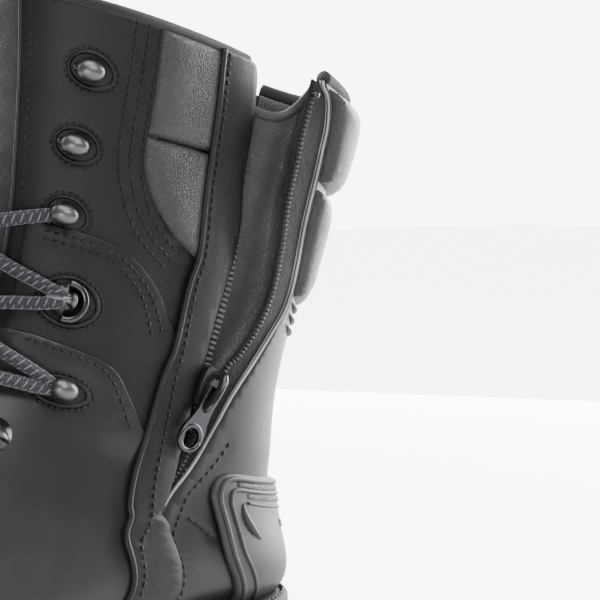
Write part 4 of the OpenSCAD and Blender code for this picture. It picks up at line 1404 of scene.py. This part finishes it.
def ring_stitches(name, row, turn, lift, a, b, place=fixed):
    ang = np.linspace(0, 2 * np.pi, 40)
    line = [(row - b * math.sin(q) / METRIC[0], turn + a * math.cos(q) / METRIC[1]) for q in ang]
    obj = stitches(name, [line], "boot", lift, place, pitch=2.3, length=1.6, thick=0.36)
    return obj


HEAD_BACK, HEAD_LENGTH, HEAD_RADIUS = -4.9, 9.4, 3.8


def hook(name, mount, mirror_side, lift):
    """A speed hook on its stitched seat."""
    row, turn = mount
    sx = 1
    if mirror_side:
        turn = 1 - turn
        sx = -1
    m = surface_frame(row, turn, lift)
    n = 30
    f = np.linspace(0, 1, n)
    # the head: an egg lying backwards, fuller at its front end
    head = np.stack([sx * (HEAD_BACK + HEAD_LENGTH * f), 0 * f, 4.7 + 0.4 * np.sin(np.pi * f)], 1)
    fat = HEAD_RADIUS * np.sqrt(np.clip(1 - (2 * f - 1) ** 2, 0, 1)) ** 0.85 * (1.04 - 0.16 * f)
    fat[0] = fat[-1] = 0.25
    egg = sweep(name + "_head", local(head, m), fat, GUNMETAL, sides=28)
    finish(egg, "boot")
    neck_line = np.array([[sx * -2.6, 0, 4.2], [sx * -4.4, 0, 3.3], [sx * -4.7, 0, 2.0],
                          [sx * -3.6, 0, 0.9], [sx * -1.5, 0, 0.5], [sx * 1.5, 0, 0.4]], float)
    neck = sweep(name + "_neck", local(flowing(neck_line, 0.5), m), 1.3, BLACK_METAL, sides=14,
                 flat=1.6)
    finish(neck, "boot")
    oval_ring(name + "_ring", row, turn, lift - 0.15, 6.6, 5.5, 0.75, LEATHER, "boot")
    ring_stitches(name + "_stitches", row, turn, lift - 0.1, 8.0, 6.9)
    return egg


hooks = {}
for side in (0, 1):
    for k, mount in enumerate(HOOKS):
        lift = 2.0 if mount[0] > 3 else 0.3
        hook("hook_%s_%d" % ("lm"[side == 0], k), mount, side == 1, lift)
    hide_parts("speed_hooks_medial" if side == 0 else "speed_hooks_lateral")
    row, turn = LOCK_HOOK
    sx = 1
    if side:
        turn, sx = 1 - turn, -1
    m = surface_frame(row, turn, 1.6)
    ang = np.radians(np.linspace(-100, 100, 50))
    guard = np.stack([sx * 5.6 * np.cos(ang), 6.0 * np.sin(ang), 2.6 + 0 * ang], 1)
    rim_ = sweep("lock_guard_%d" % side, local(guard, m), 1.35, DARK_NICKEL, sides=16)
    finish(rim_, "boot")
    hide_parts("lock_hook_medial" if side == 0 else "lock_hook_lateral")
    foot = sweep("lock_foot_%d" % side, local(np.array([[0, 0, 0.2], [0, 0, 1.2]]), m), 6.2,
                 BLACK_METAL, sides=40)
    finish(foot, "boot")
    f = np.linspace(0, 1, 26)
    arm = np.stack([sx * (-7.5 + 9.6 * f), 0.6 * f, 2.4 + 1.6 * np.sin(np.pi * f * 0.8)], 1)
    knob = np.sqrt(np.clip(1 - ((f - 0.9) / 0.11) ** 2, 0.05, 1))
    fat = 1.35 + 1.5 * smooth((f - 0.62) / 0.3) * knob
    arm_ = sweep("lock_arm_%d" % side, local(arm, m), fat, GUNMETAL, sides=20)
    finish(arm_, "boot")
    oval_ring("lock_ring_%d" % side, row, turn, 1.5, 8.6, 8.2, 0.8, LEATHER, "boot")
    ring_stitches("lock_stitches_%d" % side, row, turn, 1.45, 10.0, 9.6)
    for k, (lr, lt) in enumerate(LOOPS):
        t = lt if side == 0 else 1 - lt
        m = surface_frame(lr, t, 0.4 if lr > 7.3 else 2.0)
        ang = np.linspace(-0.25, np.pi + 0.25, 30)
        arch = np.stack([3.7 * np.cos(ang), 0 * ang, 0.5 + 3.6 * np.sin(ang)], 1)
        loop_ = sweep("loop_%d_%d" % (side, k), local(arch, m), 0.75, GUNMETAL, sides=12,
                      flat=3.6)
        finish(loop_, "boot")
        plate_ = sweep("loop_plate_%d_%d" % (side, k), local([[0, 0, 0.0], [0, 0, 0.8]], m), 5.6,
                       BLACK_METAL, sides=36)
        finish(plate_, "boot")
        if side == 0 and k == 0:
            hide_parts("lace_loops")


# ---------------------------------------------------------------- slider
SLIDER_LEAN = math.radians(-16)
slider_m = surface_frame(4.53, 0.2870, 2.9) @ Matrix.Rotation(SLIDER_LEAN, 4, "Z")


def plate(name, outer, holes, z0, z1, matrix, mat, bevel=0.35, step=0.7):
    """A flat plate with holes, in a local frame, its edges rounded."""
    outer = np.asarray(outer, float)
    rings = [outer] + [np.asarray(h, float) for h in holes]
    pts, cons = [], []
    for r in rings:
        base_ = len(pts)
        pts += [tuple(p) for p in r]
        cons += [(base_ + i, base_ + (i + 1) % len(r)) for i in range(len(r))]
    res = delaunay_2d_cdt([Vector(p) for p in pts], cons, [], 0, 1e-5)
    xy = np.array([tuple(v) for v in res[0]])
    tris = []
    for f in res[2]:
        c = xy[list(f)].mean(0)[None]
        if inside(c, outer)[0] and not any(inside(c, np.asarray(h, float))[0] for h in holes):
            tris.append(tuple(f))
    n = len(xy)
    both = np.concatenate([np.column_stack([xy, np.full(n, z)]) for z in (z1, z0)])
    faces = list(tris) + [(f[2] + n, f[1] + n, f[0] + n) for f in tris]
    seen = set()
    for f in tris:
        for a, b in ((f[0], f[1]), (f[1], f[2]), (f[2], f[0])):
            seen.add((a, b))
    faces += [(b, a, a + n, b + n) for a, b in seen if (b, a) not in seen]
    obj = facing_out(build(name, local(both, matrix), faces, mat, shade=False))
    bev = obj.modifiers.new("edge", "BEVEL")
    bev.width = bevel * MM
    bev.segments = 3
    bev.limit_method = "ANGLE"
    bev.angle_limit = math.radians(50)
    obj.data.shade_smooth()
    wn = obj.modifiers.new("normals", "WEIGHTED_NORMAL")
    wn.keep_sharp = True
    return obj


def ring_of(cx, cy, rx, ry, count=32):
    """A closed ellipse."""
    a = np.linspace(0, 2 * np.pi, count, endpoint=False)
    return np.stack([cx + rx * np.cos(a), cy + ry * np.sin(a)], 1)


def rounded(points, radius, seg=5):
    """An outline with its corners rounded."""
    p = np.asarray(points, float)
    out = []
    for i in range(len(p)):
        a, b, c = p[i - 1], p[i], p[(i + 1) % len(p)]
        u, v = (a - b) / np.linalg.norm(a - b), (c - b) / np.linalg.norm(c - b)
        s, e = b + u * radius, b + v * radius
        for k in range(seg + 1):
            f = k / seg
            out.append((1 - f) ** 2 * s + 2 * f * (1 - f) * b + f * f * e)
    return np.array(out)


deck = plate("slider_deck", rounded([(-5.6, 7), (5.6, 7), (5.2, 0), (3.4, -7), (-3.4, -7),
                                     (-5.2, 0)], 1.6), [], 0.2, 2.0, slider_m, BLACK_METAL, 0.5)
finish(deck, "zip_slider")
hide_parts("slider_body")
wings = plate("slider_lower_plate", rounded([(-5.2, 6.5), (5.2, 6.5), (4.8, 0), (3.2, -6.5),
                                             (-3.2, -6.5), (-4.8, 0)], 1.5), [], -2.6, -1.4,
              slider_m, BLACK_METAL, 0.4)
finish(wings, "zip_slider")
post = sweep("slider_diamond", local([[0, 3.4, -2.0], [0, 3.4, 1.0]], slider_m), 1.5, BLACK_METAL)
finish(post, "zip_slider")
bridge_line = flowing([[0, 5.6, 1.2], [0, 6.1, 3.2], [0, 5.2, 5.2], [0, 1.9, 6.2],
                       [0, -2.8, 6.0], [0, -6.0, 4.9], [0, -7.0, 2.8], [0, -6.4, 1.2]], 0.5)
bridge = sweep("slider_bridge", local(bridge_line, slider_m), 1.15, BLACK_METAL, sides=16,
               flat=1.45)
finish(bridge, "zip_slider")

PULL_TILT = Matrix.Translation((0, -0.7 * MM, 3.7 * MM)) @ Matrix.Rotation(
    math.radians(4), 4, "X") @ Matrix.Rotation(math.radians(2), 4, "Z")
pull_m = slider_m @ PULL_TILT
RING_Y = -17.3      # middle of the puller's round hole
outline_p = np.array([(-2.9, 1.8), (2.9, 1.8), (3.1, -2.2), (3.1, -7.2), (3.7, -10.8),
                      (4.7, -13.6), (5.2, -16.6), (4.5, -19.8), (2.3, -21.8), (0, -22.3),
                      (-2.3, -21.8), (-4.5, -19.8), (-5.2, -16.6), (-4.7, -13.6),
                      (-3.7, -10.8), (-3.1, -7.2), (-3.1, -2.2)])
puller = plate("puller_plate", rounded(outline_p, 0.75, 4),
               [ring_of(0, RING_Y, 3.3, 3.5), ring_of(0, -3.3, 1.5, 4.1, 28)],
               -0.75, 0.75, pull_m, DARK_NICKEL, 0.4)
finish(puller, "zip_puller")
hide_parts("slider_puller")
lip = sweep("puller_ring", local(np.column_stack([ring_of(0, RING_Y, 4.2, 4.4, 49)[
    np.arange(50) % 49], np.full(50, 0.0)]), pull_m), 1.0, DARK_NICKEL, sides=14)
finish(lip, "zip_puller")


# ---------------------------------------------------------------- collar, tongue
def collar_line(a, b, place, lift, n=60):
    """A line round the mouth from turn a to turn b."""
    t = np.linspace(a, b, n)
    return place(np.full(n, 0.03), t, np.full(n, lift))


front_bind = sweep("collar_binding_medial", collar_line(0.064, 0.313, fixed, -1.2), 2.0, BINDING,
                   sides=14)
finish(front_bind, "boot")
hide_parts("collar_binding")
finish(sweep("collar_binding_lateral", collar_line(0.936, 0.622, fixed, -1.2), 2.0, BINDING,
             sides=14), "boot")
finish(sweep("collar_binding_rear", collar_line(0.315, 0.586, swung, -1.6) + [0, 0, 1.6], 2.7,
             BINDING, sides=16), "rear_flap")

def mouth_pad(name, a, b, place, body):
    """The padded lining round the mouth."""
    loop_ = outline([(0.04, a), (0.04, b)], [(0.04, b), (1.55, b)], [(1.55, b), (1.55, a)],
                    [(1.55, a), (0.04, a)])
    piece = leather(name, loop_, LINING, -2.6, -5.6, place=place, step=2.2, edge=1.6,
                    crown=-2.6, crown_reach=8.0)
    finish(piece, body)
    return piece


mouth_pad("mouth_lining_medial", 0.10, 0.300, fixed, "boot")
mouth_pad("mouth_lining_lateral", 0.625, 0.90, fixed, "boot")
mouth_pad("mouth_lining_rear", 0.335, 0.585, swung, "rear_flap")

tongue_loop = outline([(0.16, -0.086), (3.5, -0.092), (7.4, -0.088)],
                      [(7.4, -0.088), (7.4, 0.088)],
                      [(7.4, 0.088), (3.5, 0.092), (0.16, 0.086)],
                      [(0.16, 0.086), (0.02, 0.0), (0.16, -0.086)])
tongue = leather("tongue_skin", tongue_loop, NAPPA, -7.4, -3.0, step=2.4, edge=2.0, crown=1.2,
                 crown_reach=10.0, wrinkle=0.25,
                 seams=[[(0.4, s * 0.066), (7.2, s * 0.066)] for s in (1, -1)])
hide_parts("tongue")
finish(tongue, "tongue_flap")


# ---------------------------------------------------------------- CAD nodes kept
def dress(node, mat):
    """Gives a kept solid its material."""
    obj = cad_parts[node]
    obj.data.materials.clear()
    obj.data.materials.append(mat)


for node, mat in (("outsole", TREAD), ("shank", STEEL), ("penetration_plate", STEEL),
                  ("lasting_board", BOARD), ("footbed", LINING), ("toe_cap_shell", SHELL),
                  ("heel_stiffener", BOARD), ("shaft_lining", LINING),
                  ("vamp_lining", LINING), ("rear_lining", LINING),
                  ("zip_bottom_stop", STEEL), ("zip_top_stop_front", STEEL)):
    dress(node, mat)


# ---------------------------------------------------------------- light, floor
def area(name, place, aim, size, power, color=(1, 1, 1)):
    """A soft box that lights but is not seen."""
    data = bpy.data.lights.new(name, "AREA")
    data.shape = "RECTANGLE"
    data.size, data.size_y = size
    data.energy = power
    data.color = color
    obj = bpy.data.objects.new(name, data)
    bpy.context.scene.collection.objects.link(obj)
    obj.location = place
    obj.visible_camera = False
    obj.rotation_euler = (Vector(aim) - Vector(place)).to_track_quat("-Z", "Y").to_euler()


area("rear_key", (0.85, -0.14, 0.30), (0.0, 0.0, 0.13), (0.45, 0.8), 20)
area("rear_rim", (0.80, 0.50, 0.22), (0.0, 0.0, 0.12), (0.9, 0.7), 21)
area("front_fill", (-0.10, -0.80, 0.70), (-0.08, 0.0, 0.06), (0.5, 0.3), 3)
area("low_fill", (-0.75, -0.65, 0.05), (-0.05, 0.0, 0.05), (0.35, 0.25), 3)
area("top", (-0.1, -0.3, 1.3), (-0.05, 0, 0.1), (1.0, 1.0), 10)
area("far", (-0.2, 0.9, 0.7), (0, 0, 0.1), (0.9, 0.6), 7)

# the ground and the world look white to the camera but light the boot softly
SEEN_GLOW, SEEN_WHITE, WORLD_LIGHT = 6.0, 8.0, 0.30
bpy.ops.mesh.primitive_plane_add(size=6, location=(0, 0, -0.0006))
floor = bpy.context.active_object
floor.name = "floor"
pale = bpy.data.materials.new("pale_floor")
pale.use_nodes = True
pale.node_tree.nodes["Principled BSDF"].inputs["Base Color"].default_value = (0.86, 0.86, 0.86, 1)
pale.node_tree.nodes["Principled BSDF"].inputs["Roughness"].default_value = 0.9
ray = pale.node_tree.nodes.new("ShaderNodeLightPath")
glow = pale.node_tree.nodes.new("ShaderNodeMath")
glow.operation = "MULTIPLY"
glow.inputs[1].default_value = SEEN_GLOW
pale.node_tree.links.new(ray.outputs["Is Camera Ray"], glow.inputs[0])
pale.node_tree.links.new(glow.outputs[0],
                         pale.node_tree.nodes["Principled BSDF"].inputs["Emission Strength"])
pale.node_tree.nodes["Principled BSDF"].inputs["Emission Color"].default_value = (1, 1, 1, 1)
floor.data.materials.append(pale)
world = bpy.data.worlds.new("studio")
bpy.context.scene.world = world
world.use_nodes = True
world.node_tree.nodes["Background"].inputs["Color"].default_value = (1, 1, 1, 1)
back = world.node_tree.nodes["Background"]
sight = world.node_tree.nodes.new("ShaderNodeLightPath")
level = world.node_tree.nodes.new("ShaderNodeMapRange")
level.inputs["To Min"].default_value = WORLD_LIGHT
level.inputs["To Max"].default_value = SEEN_WHITE
world.node_tree.links.new(sight.outputs["Is Camera Ray"], level.inputs["Value"])
world.node_tree.links.new(level.outputs["Result"], back.inputs["Strength"])
